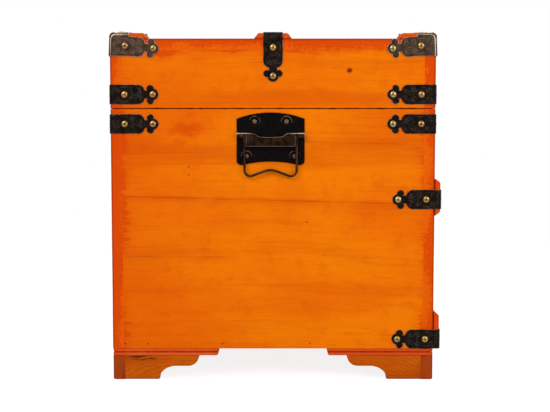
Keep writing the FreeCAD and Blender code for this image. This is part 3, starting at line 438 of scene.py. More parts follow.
# -------- mesh helpers
def wear_and_painted_light_layer(bm):
    """The layer that holds how worn each corner of each face is, together with its painted highlight and
    shade.
    """
    layers = bm.loops.layers.float
    return layers.get("wear_and_painted_light") or layers.new("wear_and_painted_light")


def mark_wear_and_painted_light(bm, worn_and_painted_light, faces=None):
    """Sets how worn the corners of faces are and how much painted highlight and shade they carry, from
    their place. All faces are set by default.
    """
    wear_and_painted_light = wear_and_painted_light_layer(bm)
    for face in bm.faces if faces is None else faces:
        for loop in face.loops:
            loop[wear_and_painted_light] = worn_and_painted_light(loop.vert.co)
    return bm


def mesh_of(bm, name):
    """Mesh from a bmesh, which is freed."""
    mesh = bpy.data.meshes.new(name)
    bm.to_mesh(mesh)
    bm.free()
    return mesh


def new_object(name, data):
    made = bpy.data.objects.new(name, data)
    bpy.context.scene.collection.objects.link(made)
    return made


def made_whole(bm):
    """Welds a mesh and joins what lies in one plane into whole faces."""
    bmesh.ops.remove_doubles(bm, verts=bm.verts, dist=WELD)
    bmesh.ops.dissolve_limit(bm, angle_limit=math.radians(1), verts=bm.verts, edges=bm.edges)
    return bm


def cad_mesh(node):
    """Copy of a CAD node's mesh with its flat faces whole."""
    bm = bmesh.new()
    bm.from_mesh(frame["nodes"][node].data)
    return made_whole(bm)


def divide(bm, place, normal):
    """Divides the faces of a mesh along a plane."""
    geometry = [*bm.verts, *bm.edges, *bm.faces]
    bmesh.ops.bisect_plane(bm, geom=geometry, plane_co=place, plane_no=normal)


def islands(node):
    """Lowest and highest corner of each separate solid of a CAD node, in order of place."""
    bm = cad_mesh(node)
    left = set(bm.verts)
    boxes = []
    while left:
        stack = [left.pop()]
        places = []
        while stack:
            vert = stack.pop()
            places.append(vert.co)
            linked = {edge.other_vert(vert) for edge in vert.link_edges} & left
            left -= linked
            stack.extend(linked)
        boxes.append([Vector(map(pick, zip(*places))) for pick in (min, max)])
    bm.free()
    return sorted(boxes, key=lambda box: tuple(round(value, 4) for value in box[0]))


def ease(bm, width, segments=2, sharp=EASE_LIMIT, chosen=lambda edge: True):
    """Rounds the chosen sharp edges a little and marks the new faces as worn: wood darkens them as
    painted shade, metal lightens them as a painted highlight and rubbed wear.
    """
    wear_and_painted_light_layer(bm)
    edges = [e for e in bm.edges if e.is_manifold and e.calc_face_angle() > sharp and chosen(e)]
    made = bmesh.ops.bevel(
        bm, geom=edges, offset=width, segments=segments, profile=0.5, affect="EDGES", clamp_overlap=True
    )
    return mark_wear_and_painted_light(bm, lambda co: 1.0, made["faces"])


def add_piece(node, bm, *materials):
    """Turns a mesh into a piece that stands for its CAD node and rides on that node's body."""
    bm.normal_update()
    name = "fine_" + node
    mesh = mesh_of(bm, name)
    for material in materials:
        mesh.materials.append(material)
    mesh.shade_smooth()
    mesh.set_sharp_from_angle(angle=SMOOTH_LIMIT)
    piece = new_object(name, mesh)
    piece.modifiers.new("weighted normals", "WEIGHTED_NORMAL").keep_sharp = True
    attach(piece, BODY_OF[node])
    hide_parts(node)


def joined(meshes):
    """One bmesh from several, which are freed."""
    whole = bmesh.new()
    wear_and_painted_light_layer(whole)
    for bm in meshes:
        wear_and_painted_light_layer(bm)
        part = mesh_of(bm, "part")
        whole.from_mesh(part)
        bpy.data.meshes.remove(part)
    return whole


def combined(first, second, operation):
    """Boolean of two closed meshes, which are freed."""
    operands = [new_object("operand", mesh_of(bm, "operand")) for bm in (first, second)]
    modifier = operands[0].modifiers.new("boolean", "BOOLEAN")
    modifier.operation = operation
    modifier.object = operands[1]
    modifier.solver = "EXACT"
    result = bmesh.new()
    result.from_mesh(operands[0].evaluated_get(bpy.context.evaluated_depsgraph_get()).data)
    for operand in operands:
        mesh = operand.data
        bpy.data.objects.remove(operand)
        bpy.data.meshes.remove(mesh)
    return result


def moved(bm, matrix):
    bm.transform(matrix)
    if matrix.determinant() < 0:
        bmesh.ops.reverse_faces(bm, faces=bm.faces)
    return bm


def basis(origin, first, second, third):
    """Matrix that carries X, Y and Z to three directions and the origin to a place."""
    matrix = Matrix((first, second, third)).transposed().to_4x4()
    matrix.translation = origin
    return matrix


def slab(outline, low, high):
    """Prism over a flat outline of (x, y) points, between two heights."""
    bm = bmesh.new()
    skin(bm, [[bm.verts.new((x, y, height)) for x, y in outline] for height in (low, high)])
    return bm


def skin(bm, rings):
    """Faces from ring to ring of vertices, closed over both ends. A ring may be a single vertex."""
    sides = max(len(ring) for ring in rings)
    faces = []
    for low, high in zip(rings, rings[1:]):
        for side in range(sides):
            after = (side + 1) % sides
            corners = [low[side % len(low)], low[after % len(low)]]
            corners += [high[after % len(high)], high[side % len(high)]]
            faces.append(bm.faces.new(dict.fromkeys(corners)))
    for ring in (rings[0][::-1], rings[-1]):
        if len(ring) > 1:
            faces.append(bm.faces.new(ring))
    return faces


def turned(profile, sides):
    """Round form about Z from (radius, height) points, closed at both ends."""
    bm = bmesh.new()
    rings = []
    for radius, height in profile:
        circle = arc((0, 0), radius, 0, 360, sides)[:-1] if radius > WELD else [(0, 0)]
        rings.append([bm.verts.new((x, y, height)) for x, y in circle])
    skin(bm, rings)
    return bm


def arc(centre, radius, start, end, steps, shrink=0.0):
    """Points (x, y) round an arc between two angles in degrees, whose radius shrinks by a share."""
    points = []
    for step in range(steps + 1):
        share = step / steps
        turn = math.radians(start + (end - start) * share)
        reach = radius * (1 - shrink * share)
        points.append((centre[0] + reach * math.cos(turn), centre[1] + reach * math.sin(turn)))
    return points


# -------- boards
BRACKET_BOARD = 16 * MM
BRACKET_TOE = 64 * MM  # flat that stands on the floor
BRACKET_STEP = 19 * MM  # height of the flat between the two curves
BRACKET_HOLLOW = 24 * MM  # run of the hollow curve beside the toe
TOE_BEVEL = 1.7 * MM
RIM_CUT = 4 * MM
RIM_REACH = 1.2 * MM  # what lies this near a rim belongs to it
RIM_EASE = 0.55 * MM
RIM_WAVER = 0.6 * MM


def panel(node, material):
    """Board of the chest's walls. Only its rim along the seam is eased, and knocked uneven."""
    low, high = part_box(node)
    axis = 0 if high.x - low.x > high.y - low.y else 1
    start, end, direction = low[axis], high[axis], (X, Y)[axis]
    rim, inward = (LID_FOOT, 1) if node.startswith("lid") else (BODY_TOP, -1)
    bm = cad_mesh(node)
    for step in range(2, int((end - start) / RIM_CUT) - 1):  # keeps clear of its rounded corners
        divide(bm, direction * (start + step * RIM_CUT), direction)

    def along_rim(edge):
        return all(abs(vert.co.z - rim) < NEAR for vert in edge.verts)

    ease(bm, RIM_EASE, chosen=along_rim)
    for vert in bm.verts:
        at_end = min(vert.co[axis] - start, end - vert.co[axis]) < RIM_CUT
        if abs(vert.co.z - rim) < RIM_REACH and not at_end:
            shake = noise.noise(vert.co * 45) + 0.7 * noise.noise(vert.co * 210)
            vert.co.z += inward * RIM_WAVER * abs(shake)
    add_piece(node, bm, material)


def eased(node, material, width=BOARD_EASE):
    """A CAD piece with its sharp edges rounded."""
    add_piece(node, ease(cad_mesh(node), width), material)


def bracket_outline(start, length, height):
    """Side view of a bracket board as (distance from the foot's corner, height above the floor)."""
    hollow_end = BRACKET_TOE + BRACKET_HOLLOW
    points = [(start, 0.0)]
    for x, y in arc((0, 0), 1.0, 180, 90, 16):
        points.append((hollow_end + x * BRACKET_HOLLOW, y * BRACKET_STEP))
    nose = height - BRACKET_STEP
    points += arc((length - nose, height), nose, -90, 0, 16)
    return [*points, (start, height)]


def outer_corner(low, high):
    """Which sides of the chest a piece is on, -1 or 1, and its outermost x and y."""
    x_side = -1 if low.x + high.x < 0 else 1
    y_side = -1 if low.y + high.y < 2 * MIDDLE_Y else 1
    return x_side, y_side, (low if x_side < 0 else high).x, (low if y_side < 0 else high).y


def bracket(node, long_grain, cross_grain):
    """Two bracket boards with smooth curves, each with its grain along its length."""
    low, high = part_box(node)
    x_side, y_side, *corner = outer_corner(low, high)
    sides = ((0.0, -x_side * X, -y_side * Y), (BRACKET_BOARD, -y_side * Y, -x_side * X))
    pieces = []
    for index, (start, along, inward) in enumerate(sides):
        outline = bracket_outline(start, high.x - low.x, high.z - low.z)
        piece = slab(outline, 0, BRACKET_BOARD)
        toe = [e for e in piece.edges if all(max(v.co.y, v.co.z) < NEAR for v in e.verts)]
        bmesh.ops.bevel(piece, geom=toe, offset=TOE_BEVEL, segments=1, affect="EDGES")
        for face in piece.faces:
            face.material_index = index
        pieces.append(moved(ease(piece, BOARD_EASE), basis((*corner, low.z), along, Z, inward)))
    add_piece(node, joined(pieces), long_grain, cross_grain)


def boards():
    front = wood("pine_front", "x", 1)
    back = wood("pine_back", "x", 2)
    top = wood("pine_top", "x", 3)
    battens = wood("pine_battens", "x", 4, pith=(30 * MM, -90 * MM))
    panel("front_panel", front)
    panel("back_panel", back)
    panel("end_panel_left", wood("pine_end_left", "y", 5, marks=end_panel_marks))
    panel("end_panel_right", wood("pine_end_right", "y", 6))
    panel("lid_front_panel", front)
    panel("lid_back_panel", back)
    panel("lid_end_panel_left", wood("pine_lid_left", "y", 7, marks=lid_end_marks))
    panel("lid_end_panel_right", wood("pine_lid_right", "y", 8))
    eased("bottom_board", top)
    eased("lid_top_board", top, TOP_BOARD_EASE)
    for batten in ("front_batten_upper", "front_batten_lower"):
        eased(batten, battens)
    for place in ("front", "back", "middle"):
        eased("lid_batten_" + place, battens)
    foot_long = wood("pine_foot_long", "x", 9, BROWN_STAIN, (40 * MM, -20 * MM))
    foot_cross = wood("pine_foot_cross", "y", 13, BROWN_STAIN, (420 * MM, -60 * MM), foot_marks)
    plates = wood("pine_foot_plates", "y", 11, RED_STAIN)
    for corner in ("front_left", "front_right", "back_left", "back_right"):
        bracket("foot_bracket_" + corner, foot_long, foot_cross)
        eased("foot_plate_" + corner, plates)
    eased("foot_glue_blocks", foot_long)


# -------- stamped straps
def crossing(first, first_radius, second, second_radius):
    """The point (x, y) furthest along X where two circles cross."""
    gap = Vector(second) - Vector(first)
    along = (first_radius**2 - second_radius**2 + gap.length_squared) / (2 * gap.length)
    rise = math.sqrt(first_radius**2 - along**2)
    unit = gap.normalized()
    foot = Vector(first) + unit * along
    across = Vector((unit.y, -unit.x)) * rise
    return max(foot + across, foot - across, key=lambda point: point.x)


def angle_at(centre, point):
    return math.degrees(math.atan2(point[1] - centre[1], point[0] - centre[0]))


def arm_outline():
    """Upper half of an arm's outline from the fold to its tip: shoulder, neck and lobes."""
    shoulder = (SHOULDER - SHOULDER_ROUND, STRAP_HALF - SHOULDER_ROUND)
    neck_turn = math.degrees(math.asin((NECK_HALF - shoulder[1]) / SHOULDER_ROUND))
    lobe = (TIP_NAIL - LOBE_BACK, LOBE_SPREAD)
    tip = (TIP_NAIL, 0.0)
    into_lobe = 180 + math.degrees(math.asin((LOBE_SPREAD - NECK_HALF) / LOBE_RADIUS))
    meet = crossing(lobe, LOBE_RADIUS, tip, END_LOBE_RADIUS)
    points = arc(shoulder, SHOULDER_ROUND, 90, neck_turn, 10)
    points += arc(lobe, LOBE_RADIUS, into_lobe, angle_at(lobe, meet), 16)
    points += arc(tip, END_LOBE_RADIUS, angle_at(tip, meet), 0, 12)[1:]
    return points


def both_halves(upper):
    """An arm's whole outline, from its lower half to its tip and back along the upper one."""
    return [(x, -y) for x, y in upper] + upper[-2::-1]


HALF_FOLD = math.pi / 4 * (EDGE_ROUND + SHEET / 2)
FOLD = EDGE_ROUND + SHEET
BEAD_COLUMNS = (5.4 * MM, 7.6 * MM)
BEAD_ROWS = 8
BEAD_RADIUS = 0.75 * MM
BEAD = ((BEAD_RADIUS, -0.1 * MM), (BEAD_RADIUS * 0.75, 0.2 * MM), (0, 0.32 * MM))
RIDGE_RADIUS = 0.4 * MM
RIDGE_HEIGHT = 0.3 * MM
SCROLL_STEPS = 16
SCROLL_SHRINK = 0.82
STROKE_STEPS = 9
# how bright the ornament's ridges and beads are painted: a painted highlight, partly rubbed wear
STRAP_WEAR_AND_HIGHLIGHT = 0.24
CAP_WEAR_AND_HIGHLIGHT = 0.15
# Strokes of an arm's ornament in millimetres, as (distance from the fold, across): start, bend and
# end. All but the middle ones lie on both sides. Scrolls have a centre, a radius and two angles.
SIDE_STROKES = (
    ((46.5, 1.2), (41, 2.0), (36.5, 5.6)),
    ((46.0, 2.6), (42, 5.0), (39.0, 9.4)),
    ((44.5, 4.4), (43.4, 7.2), (42.8, 9.8)),
    ((36.5, 5.6), (33, 9.5), (28.5, 9.8)),
    ((26.6, 9.6), (20, 11.4), (14.5, 8.6)),
    ((11.5, 10.6), (9.5, 9.0), (9.3, 6.4)),
)
MIDDLE_STROKES = (((34.5, 0), (38, 1.4), (43, 0)), ((33.8, -2.6), (31.4, 0), (33.8, 2.6)))
SCROLLS = (((30.6, 5.9), 3.7, 80, -334), ((13.6, 5.6), 3.1, 70, 502))


def unfolded(along):
    """Developed place of a point that lies that far from the fold's outer side."""
    return HALF_FOLD + along - FOLD


def ridge(bm, points, radius, worn_and_painted_light):
    """Raised line on a plate along (x, y) points: half a tube that thins out at both ends."""
    wear_and_painted_light_layer(bm)
    rings = []
    last = len(points) - 1
    for i, point in enumerate(points):
        before, after = points[max(i - 1, 0)], points[min(i + 1, last)]
        heading = (Vector(after) - Vector(before)).normalized()
        side = Vector((-heading.y, heading.x))
        swell = math.sqrt(math.sin(math.pi * (i + 0.35) / (last + 0.7)))
        ring = []
        for turn in (-0.25, 0.25, 0.5, 0.75, 1.25):
            out = math.cos(math.pi * turn) * radius * swell
            up = math.sin(math.pi * turn) * RIDGE_HEIGHT * swell
            ring.append(bm.verts.new((point[0] + side.x * out, point[1] + side.y * out, SHEET + up)))
        rings.append(ring)
    mark_wear_and_painted_light(bm, lambda co: worn_and_painted_light, skin(bm, rings))


def sweep_stroke(start, bend, end):
    """Points (x, y) of a curved stroke between two points, pulled towards a third."""
    points = []
    for step in range(STROKE_STEPS + 1):
        t = step / STROKE_STEPS
        weights = ((1 - t) ** 2, 2 * t * (1 - t), t * t)
        columns = zip(start, bend, end)
        points.append([sum(w * value for w, value in zip(weights, column)) for column in columns])
    return points


def arm_strokes():
    """Generic leaf-and-scroll ornament of one arm, in (distance from the fold, across)."""
    strokes = [sweep_stroke(*stroke) for stroke in MIDDLE_STROKES]
    for side in (-1, 1):
        for stroke in SIDE_STROKES:
            strokes.append(sweep_stroke(*[(x, side * y) for x, y in stroke]))
        for (x, y), radius, start, end in SCROLLS:
            winding = (side * start, side * end, SCROLL_STEPS, SCROLL_SHRINK)
            strokes.append(arc((x, side * y), radius, *winding))
    return [[(x * MM, y * MM) for x, y in stroke] for stroke in strokes]


def ornament(worn_and_painted_light, place=lambda along, across: (along, across), kept=lambda along, across: True):
    """Ridges and beads of one arm. place turns (distance, across) into the flat plate's (x, y).

    A stroke or bead is left out where kept says that the arm has no metal there.
    """
    ridges = bmesh.new()
    for stroke in arm_strokes():
        if all(kept(*point) for point in stroke):
            ridge(ridges, [place(*point) for point in stroke], RIDGE_RADIUS, worn_and_painted_light)
    beads = []
    for column in BEAD_COLUMNS:
        for row in range(BEAD_ROWS):
            across = STRAP_HALF * 0.86 * (2 * row / (BEAD_ROWS - 1) - 1)
            if kept(column, across):
                bead = mark_wear_and_painted_light(turned(BEAD, 8), lambda co: worn_and_painted_light)
                beads.append(moved(bead, Matrix.Translation((*place(column, across), SHEET))))
    return joined([ridges, *beads])


def strap_plate():
    """Flat strap with an arm to either side, divided where it will be folded."""
    right = both_halves([(unfolded(x), y) for x, y in arm_outline()])
    bm = slab(right + [(-x, -y) for x, y in right], 0, SHEET)
    for step in range(-4, 5):
        divide(bm, X * HALF_FOLD * step / 4, X)
    return ease(bm, RIM_BEVEL)


def folded(bm, corner, first, second, across):
    """Wraps a flat strap round an edge: one arm along first, the other along second."""
    for vert in bm.verts:
        s, w, h = vert.co
        reach = EDGE_ROUND + h
        if s > HALF_FOLD:
            a, b = FOLD + s - HALF_FOLD, FOLD - reach
        elif s < -HALF_FOLD:
            a, b = FOLD - reach, FOLD - s - HALF_FOLD
        else:
            turn = math.pi / 4 * (1 - s / HALF_FOLD)
            a, b = FOLD - reach * math.sin(turn), FOLD - reach * math.cos(turn)
        vert.co = corner + first * a + second * b + across * w
    if first.cross(second).dot(across) < 0:
        bmesh.ops.reverse_faces(bm, faces=bm.faces)
    return bm


def straps(node, material):
    """Stamped straps in place of a node's plain ones."""
    pieces = []
    for low, high in islands(node):
        x_side, y_side, outer_x, outer_y = outer_corner(low, high)
        if high.y - low.y < 2.5 * STRAP_HALF:  # it lies over the lid's crown
            corner = Vector((outer_x, (low.y + high.y) / 2, high.z))
            second, across = -Z, Y
        else:
            corner = Vector((outer_x, outer_y, (low.z + high.z) / 2))
            second, across = -y_side * Y, Z
        flat = [
            strap_plate(),
            ornament(STRAP_WEAR_AND_HIGHLIGHT, lambda x, y: (unfolded(x), y)),
            ornament(STRAP_WEAR_AND_HIGHLIGHT, lambda x, y: (-unfolded(x), -y)),
        ]
        pieces.append(folded(joined(flat), corner, -x_side * X, second, across))
    add_piece(node, joined(pieces), material)


# -------- corner caps
def corner_block(size, grow, rounding):
    """The lid's corner with its crown at Z = 0 and the chest in +X and +Y, grown and rounded."""
    bm = bmesh.new()
    bmesh.ops.create_cube(bm, size=1)
    for vert in bm.verts:
        x, y, z = vert.co
        vert.co = (size if x > 0 else -grow, size if y > 0 else -grow, grow if z > 0 else -size)
    rounded = []
    for edge in bm.edges:
        outer = [max(v.co[i] * sign for v in edge.verts) < size / 2 for i, sign in enumerate((1, 1, -1))]
        if sum(outer) == 2:
            rounded.append(edge)
    bmesh.ops.bevel(bm, geom=rounded, offset=rounding, segments=8, profile=0.5, affect="EDGES")
    return bm


def cap_arms():
    """Start, direction and leftward direction of the three arms, on the end, the front and the top."""
    low = -Z * CAP_ARM_DROP
    fall = -Z * math.sin(CAP_ARM_TILT)
    along_end = Y * math.cos(CAP_ARM_TILT) + fall
    along_front = X * math.cos(CAP_ARM_TILT) + fall
    diagonal = (X + Y).normalized()
    return [
        (low, along_end, -X.cross(along_end)),
        (low, along_front, -Y.cross(along_front)),
        (Vector(), diagonal, Z.cross(diagonal)),
    ]


def flared(co):
    """Moves a place on the cap outward near its lower rim, where it stands off the wood."""
    push = CAP_FLARE * min(1.0, max(0.0, -co.z / CAP_SKIRT)) ** 1.5
    shift = Vector()
    for across, along in ((0, 1), (1, 0)):
        reach = max(0.0, 1 - max(0.0, co[along]) / CAP_FLARE_REACH)
        near = max(0.0, 1 - max(0.0, co[across]) / CAP_FLARE_BLEND)
        shift[across] = -push * reach**2 * near**2
    return co + shift


def draped(co):
    """Moves a place on the cap's top arm down over the chamfer of the batten under it."""
    over = co.y - CAP_FOLD
    if over <= 0 or co.z < -CAP_TOP_DEPTH:
        return co
    along, out = math.cos(CAP_FOLD_TURN), math.sin(CAP_FOLD_TURN)
    return Vector((co.x, CAP_FOLD + over * along + co.z * out, co.z * along - over * out))


def crease():
    """Line just inside the cap's edges, as ridges on its end, front and top, painted bright all along as
    a highlight on the bend, partly rubbed wear.
    """
    centre = CREASE_INSET + CREASE_ROUND
    turn = arc((centre, centre), CREASE_ROUND, 180, 270, 10)
    upright = [(CREASE_INSET, CAP_SKIRT * (1 - step / 8)) for step in range(6)]
    level = [(centre + step * CREASE_STEP, CREASE_INSET) for step in range(1, 5)]
    path = upright + turn + level
    lines = []
    for points, across, down, out in ((path, Y, -Z, -X), (path, X, -Z, -Y), (path[4:], Y, X, Z)):
        line = bmesh.new()
        # painted highlight along the crease, partly rubbed wear
        ridge(line, points, CREASE_RADIUS, 1.0)
        for vert in line.verts:
            short = max(0.0, CAP_ROUND - SHEET - min(vert.co.x, vert.co.y))
            vert.co.z -= CAP_ROUND - math.sqrt(CAP_ROUND**2 - short**2)
        lines.append(moved(line, basis(Vector(), across, down, out)))
    return lines


def corner_cap():
    """Drawn cap of a front left corner: a thin shell cut to three arms, with their ornament."""
    size = TIP_NAIL + 3 * END_LOBE_RADIUS
    outside = corner_block(size, SHEET, CAP_ROUND)
    shell = combined(outside, corner_block(size + SHEET, 0, EDGE_ROUND), "DIFFERENCE")
    outline = [(0, -STRAP_HALF), *both_halves(arm_outline()), (0, STRAP_HALF)]
    clear = 4 * SHEET
    body = [(-clear, -clear), (CAP_SIDE, -clear), (CAP_SIDE, CAP_SIDE), (-clear, CAP_SIDE)]
    keep = slab(body, -CAP_SKIRT, clear)
    raised = crease()
    for start, along, left in cap_arms():
        out = along.cross(left)
        diagonal = out.z > 0.5
        arm = moved(slab(outline, -0.02 * MM, 2 * SHEET), basis(start, along, left, out))
        keep = combined(keep, arm, "UNION")

        def kept(distance, across):
            return not diagonal or distance - abs(across) > CAP_MARGIN

        raised.append(moved(ornament(CAP_WEAR_AND_HIGHLIGHT, kept=kept), basis(start, along, left, out)))
    cap = ease(made_whole(combined(shell, keep, "INTERSECT")), FITTING_EASE, sharp=math.radians(40))
    cuts = [(-Z, CAP_SKIRT * step / 7) for step in range(1, 7)]
    cuts.append((Y, CAP_FOLD))
    cuts += [(direction, CAP_FLARE_REACH * step / 8) for direction in (X, Y) for step in range(9)]
    for direction, reach in cuts:
        divide(cap, direction * reach, direction)
    whole = joined([cap, *raised])
    for vert in whole.verts:
        vert.co = flared(draped(vert.co))
    return whole


def corner_caps(material):
    mesh = mesh_of(corner_cap(), "cap")
    pieces = []
    for x_side, y_side in ((-1, -1), (-1, 1), (1, -1), (1, 1)):
        copy = bmesh.new()
        copy.from_mesh(mesh)
        corner = Vector((x_side * -END_X, FRONT_Y if y_side < 0 else BACK_Y, CROWN))
        turn = Matrix.Diagonal((-x_side, -y_side, 1, 1))
        pieces.append(moved(copy, Matrix.Translation(corner) @ turn))
    bpy.data.meshes.remove(mesh)
    add_piece("lid_corner_caps", joined(pieces), material)


# -------- nails and screws
def seat_of(low, high):
    """Basis on the seat of a head on the chest's outside, with Z outward, and the head's height."""
    sizes = high - low
    axis = min(range(3), key=lambda i: sizes[i])
    centre = (low + high) / 2
    outward = Vector()
    outward[axis] = 1 if centre[axis] > (0, MIDDLE_Y, 0)[axis] else -1
    across = X if axis == 2 else Z
    seat = centre - outward * sizes[axis] / 2
    return basis(seat, across, outward.cross(across), outward), sizes[axis]


NAIL_RADIUS = 5.15 * MM
NAIL_RIM = 0.5 * MM  # height where a nail's dome begins
SCREW_RADIUS = 3.5 * MM
SCREW_SLOT = (2 * MM, 0.4 * MM)  # half length and half width
TOP_NAIL_SINK = 1.2 * MM  # nails on top of the lid are beaten flatter


def dome(radius, low, high, steps):
    """Profile points that round over from just inside a rim to a crown."""
    turns = [math.radians(90 * step / steps) for step in range(1, steps)]
    points = [(radius * math.cos(turn), low + (high - low) * math.sin(turn)) for turn in turns]
    return [*points, (0, high)]


def nail(height):
    """Domed upholstery nail with a thin rolled rim and a painted reflection: a lighter ring round its
    darker crown.
    """
    rim = [(NAIL_RADIUS * 0.97, 0), (NAIL_RADIUS, 0.25 * MM), (NAIL_RADIUS * 0.985, NAIL_RIM)]

    # painted reflection: a lighter ring round the crown
    def worn_and_painted_light(co):
        distance = math.hypot(co.x, co.y) / NAIL_RADIUS
        return 0.5 * max(0.0, 1 - abs(distance - 0.55) / 0.4)

    return mark_wear_and_painted_light(turned(rim + dome(NAIL_RADIUS * 0.95, NAIL_RIM, height, 7), 28), worn_and_painted_light)


def heads(node, model, *materials):
    """Heads in place of a node's plain ones, each a little askew and in a finish of its own."""
    draw = random.Random(node)
    pieces = []
    for low, high in islands(node):
        seat, height = seat_of(low, high)
        lean = Matrix.Rotation(math.radians(draw.uniform(-2.5, 2.5)), 4, "X")
        spin = Matrix.Rotation(draw.uniform(0, math.pi) if model is screw else 0.0, 4, "Z")
        if seat[2][2] > 0.5:
            height -= TOP_NAIL_SINK
        head = moved(model(height), seat @ spin @ lean)
        finish = min(draw.randrange(5) // 2, len(materials) - 1)
        for face in head.faces:
            face.material_index = finish
        pieces.append(head)
    add_piece(node, joined(pieces), *materials)


def screw(height):
    """Round head with a cross recess."""
    rim = [(SCREW_RADIUS * 0.96, 0), (SCREW_RADIUS, 0.25 * MM)]
    head = turned(rim + dome(SCREW_RADIUS * 0.98, 0, height, 6), 24)
    length, width = SCREW_SLOT
    outline = [(-length, -width), (length, -width), (length, width), (-length, width)]
    for turn in (0, math.pi / 2):
        blade = moved(slab(outline, 0.7 * MM, 3 * MM), Matrix.Rotation(turn, 4, "Z"))
        head = combined(head, blade, "DIFFERENCE")
    return ease(head, 0.08 * MM, 1, math.radians(45))


# -------- drop handles
PLATE_HALF = 47 * MM
PLATE_HEIGHT = 72.5 * MM
PLATE_ARCH = 8.7 * MM
PLATE_FOOT_ARCH = 4.8 * MM
PLATE_SHOE = 8 * MM
PLATE_CORNER = 6 * MM
PLATE_SCREWS = ((22 * MM, 12.5 * MM), (33.4 * MM, 60.3 * MM))  # across, and down from the crown
COLLAR = ((8.2, -0.6), (8.2, 0.02), (7.8, 0.3), (7.3, 0.42), (6.8, 0.42), (0, 0.42))
DISH = ((3.6, -0.5), (5.0, -0.45), (6.0, -0.2), (6.5, 0.1), (6.9, 0.5), (6.9, 1.0))
EAR_WIDTH = 7 * MM
EAR_HIGHLIGHT_DROP = 2 * MM  # the ears get a painted highlight, partly rubbed wear, this far down
SADDLE_HIGHLIGHT_DROP = 4 * MM  # and the rest of the saddle's edges less than this far down; lower edges are painted dimmer
WEB_DROP = 2.15 * MM  # from a saddle's top to the foot of the thin webs over the raised bail's legs
WIRE_RADIUS = 1.75 * MM
WIRE_SIDES = 16
BAIL_SPAN = 36 * MM
BAIL_LOBE = 8 * MM
BAIL_SLOPE = math.radians(20)
BAIL_BENDS = (3 * MM, BAIL_LOBE, 22 * MM, BAIL_LOBE, 3 * MM)


def bow(half, rise, steps=24):
    """Points of an arc from (half, -rise) over the origin to (-half, -rise)."""
    radius = (half * half + rise * rise) / (2 * rise)
    places = [half * (1 - 2 * step / steps) for step in range(steps + 1)]
    return [(x, math.sqrt(radius * radius - x * x) - radius) for x in places]


def end_basis(node, depth):
    """Basis on an end of the chest: X across, Y up from the node's top, Z outward from depth."""
    low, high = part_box(node)
    out = 1 if low.x > 0 else -1
    return basis((out * (depth - END_X), (low.y + high.y) / 2, high.z), -Y, Z, out * X)


def seat_highlight(co):
    """How bright a screw's seat is painted: a painted highlight round its raised rim, stronger towards
    its upper side.
    """
    return max(0.0, 0.2 + co.y / (14 * MM)) if co.z > 0.1 * MM else 0.0


def handle_plate(node, material):
    """Pressed back plate with arched top and foot and a dished seat for each screw."""
    foot = -PLATE_HEIGHT
    shoe = PLATE_HALF - PLATE_SHOE
    corner = PLATE_HALF - PLATE_CORNER
    right = [(shoe, foot), *arc((corner, foot + PLATE_CORNER), PLATE_CORNER, -90, 0, 8)]
    left = [(-x, y) for x, y in reversed(right)]
    crown = bow(PLATE_HALF, PLATE_ARCH)
    arch = [(-x, foot + PLATE_FOOT_ARCH + y) for x, y in bow(shoe, PLATE_FOOT_ARCH)[1:-1]]
    plate = ease(slab([*right, *crown, *left, *arch], 0, SHEET), FITTING_EASE)
    for across, down in PLATE_SCREWS:
        for side in (-1, 1):
            place = Matrix.Translation((side * across, -down, SHEET))
            for profile, operation in ((COLLAR, "UNION"), (DISH, "DIFFERENCE")):
                tool = turned([(radius * MM, height * MM) for radius, height in profile], 36)
                plate = combined(plate, moved(mark_wear_and_painted_light(tool, seat_highlight), place), operation)
    bmesh.ops.remove_doubles(plate, verts=plate.verts, dist=WELD)
    add_piece(node, moved(plate, end_basis(node, 0)), material)


def saddle(node, material):
    """Sheet saddle with a painted highlight, partly rubbed wear, on its ears and upper edges; its lower
    edges are painted dimmer.
    """
    low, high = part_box(node)
    inner = (high.y - low.y) / 2 - EAR_WIDTH

    def off_webs(edge):
        return any(abs(high.z - WEB_DROP - vert.co.z) > NEAR / 2 for vert in edge.verts)

    bm = ease(cad_mesh(node), 0.3 * MM, chosen=off_webs)
    wear_and_painted_light = wear_and_painted_light_layer(bm)
    # painted highlight: full on the ears' tops, dimmer on edges low on the saddle
    for face in bm.faces:
        for loop in face.loops:
            co = loop.vert.co
            if abs(co.y - (low.y + high.y) / 2) > inner and co.z > high.z - EAR_HIGHLIGHT_DROP:
                loop[wear_and_painted_light] = 1.0
            elif co.z < high.z - SADDLE_HIGHLIGHT_DROP:
                loop[wear_and_painted_light] *= 0.45
    add_piece(node, bm, material)


def bent(points, radii):
    """Route along straight runs whose corners are turned round tangent arcs."""
    route = [points[0]]
    for before, corner, after, bend in zip(points, points[1:], points[2:], radii):
        into = (corner - before).normalized()
        away = (after - corner).normalized()
        turn = into.angle(away)
        start = corner - into * bend * math.tan(turn / 2)
        inward = (away - into * away.dot(into)).normalized()
        steps = math.ceil(turn / math.radians(9))
        for step in range(steps + 1):
            part = turn * step / steps
            route.append(start + into * bend * math.sin(part) + inward * bend * (1 - math.cos(part)))
    return [*route, points[-1]]


def wire(route, radius):
    """Round bar along a route in the XY plane."""
    bm = bmesh.new()
    circle = arc((0, 0), radius, 0, 360, WIRE_SIDES)[:-1]
    headings = [(after - before).normalized() for before, after in zip(route, route[1:])]
    rings = []
    for at, into, away in zip(route, headings[:1] + headings, headings + headings[-1:]):
        side = Z.cross((into + away).normalized()) / math.cos(into.angle(away) / 2)
        rings.append([bm.verts.new(at + side * out + Z * up) for out, up in circle])
    skin(bm, rings)
    return bm


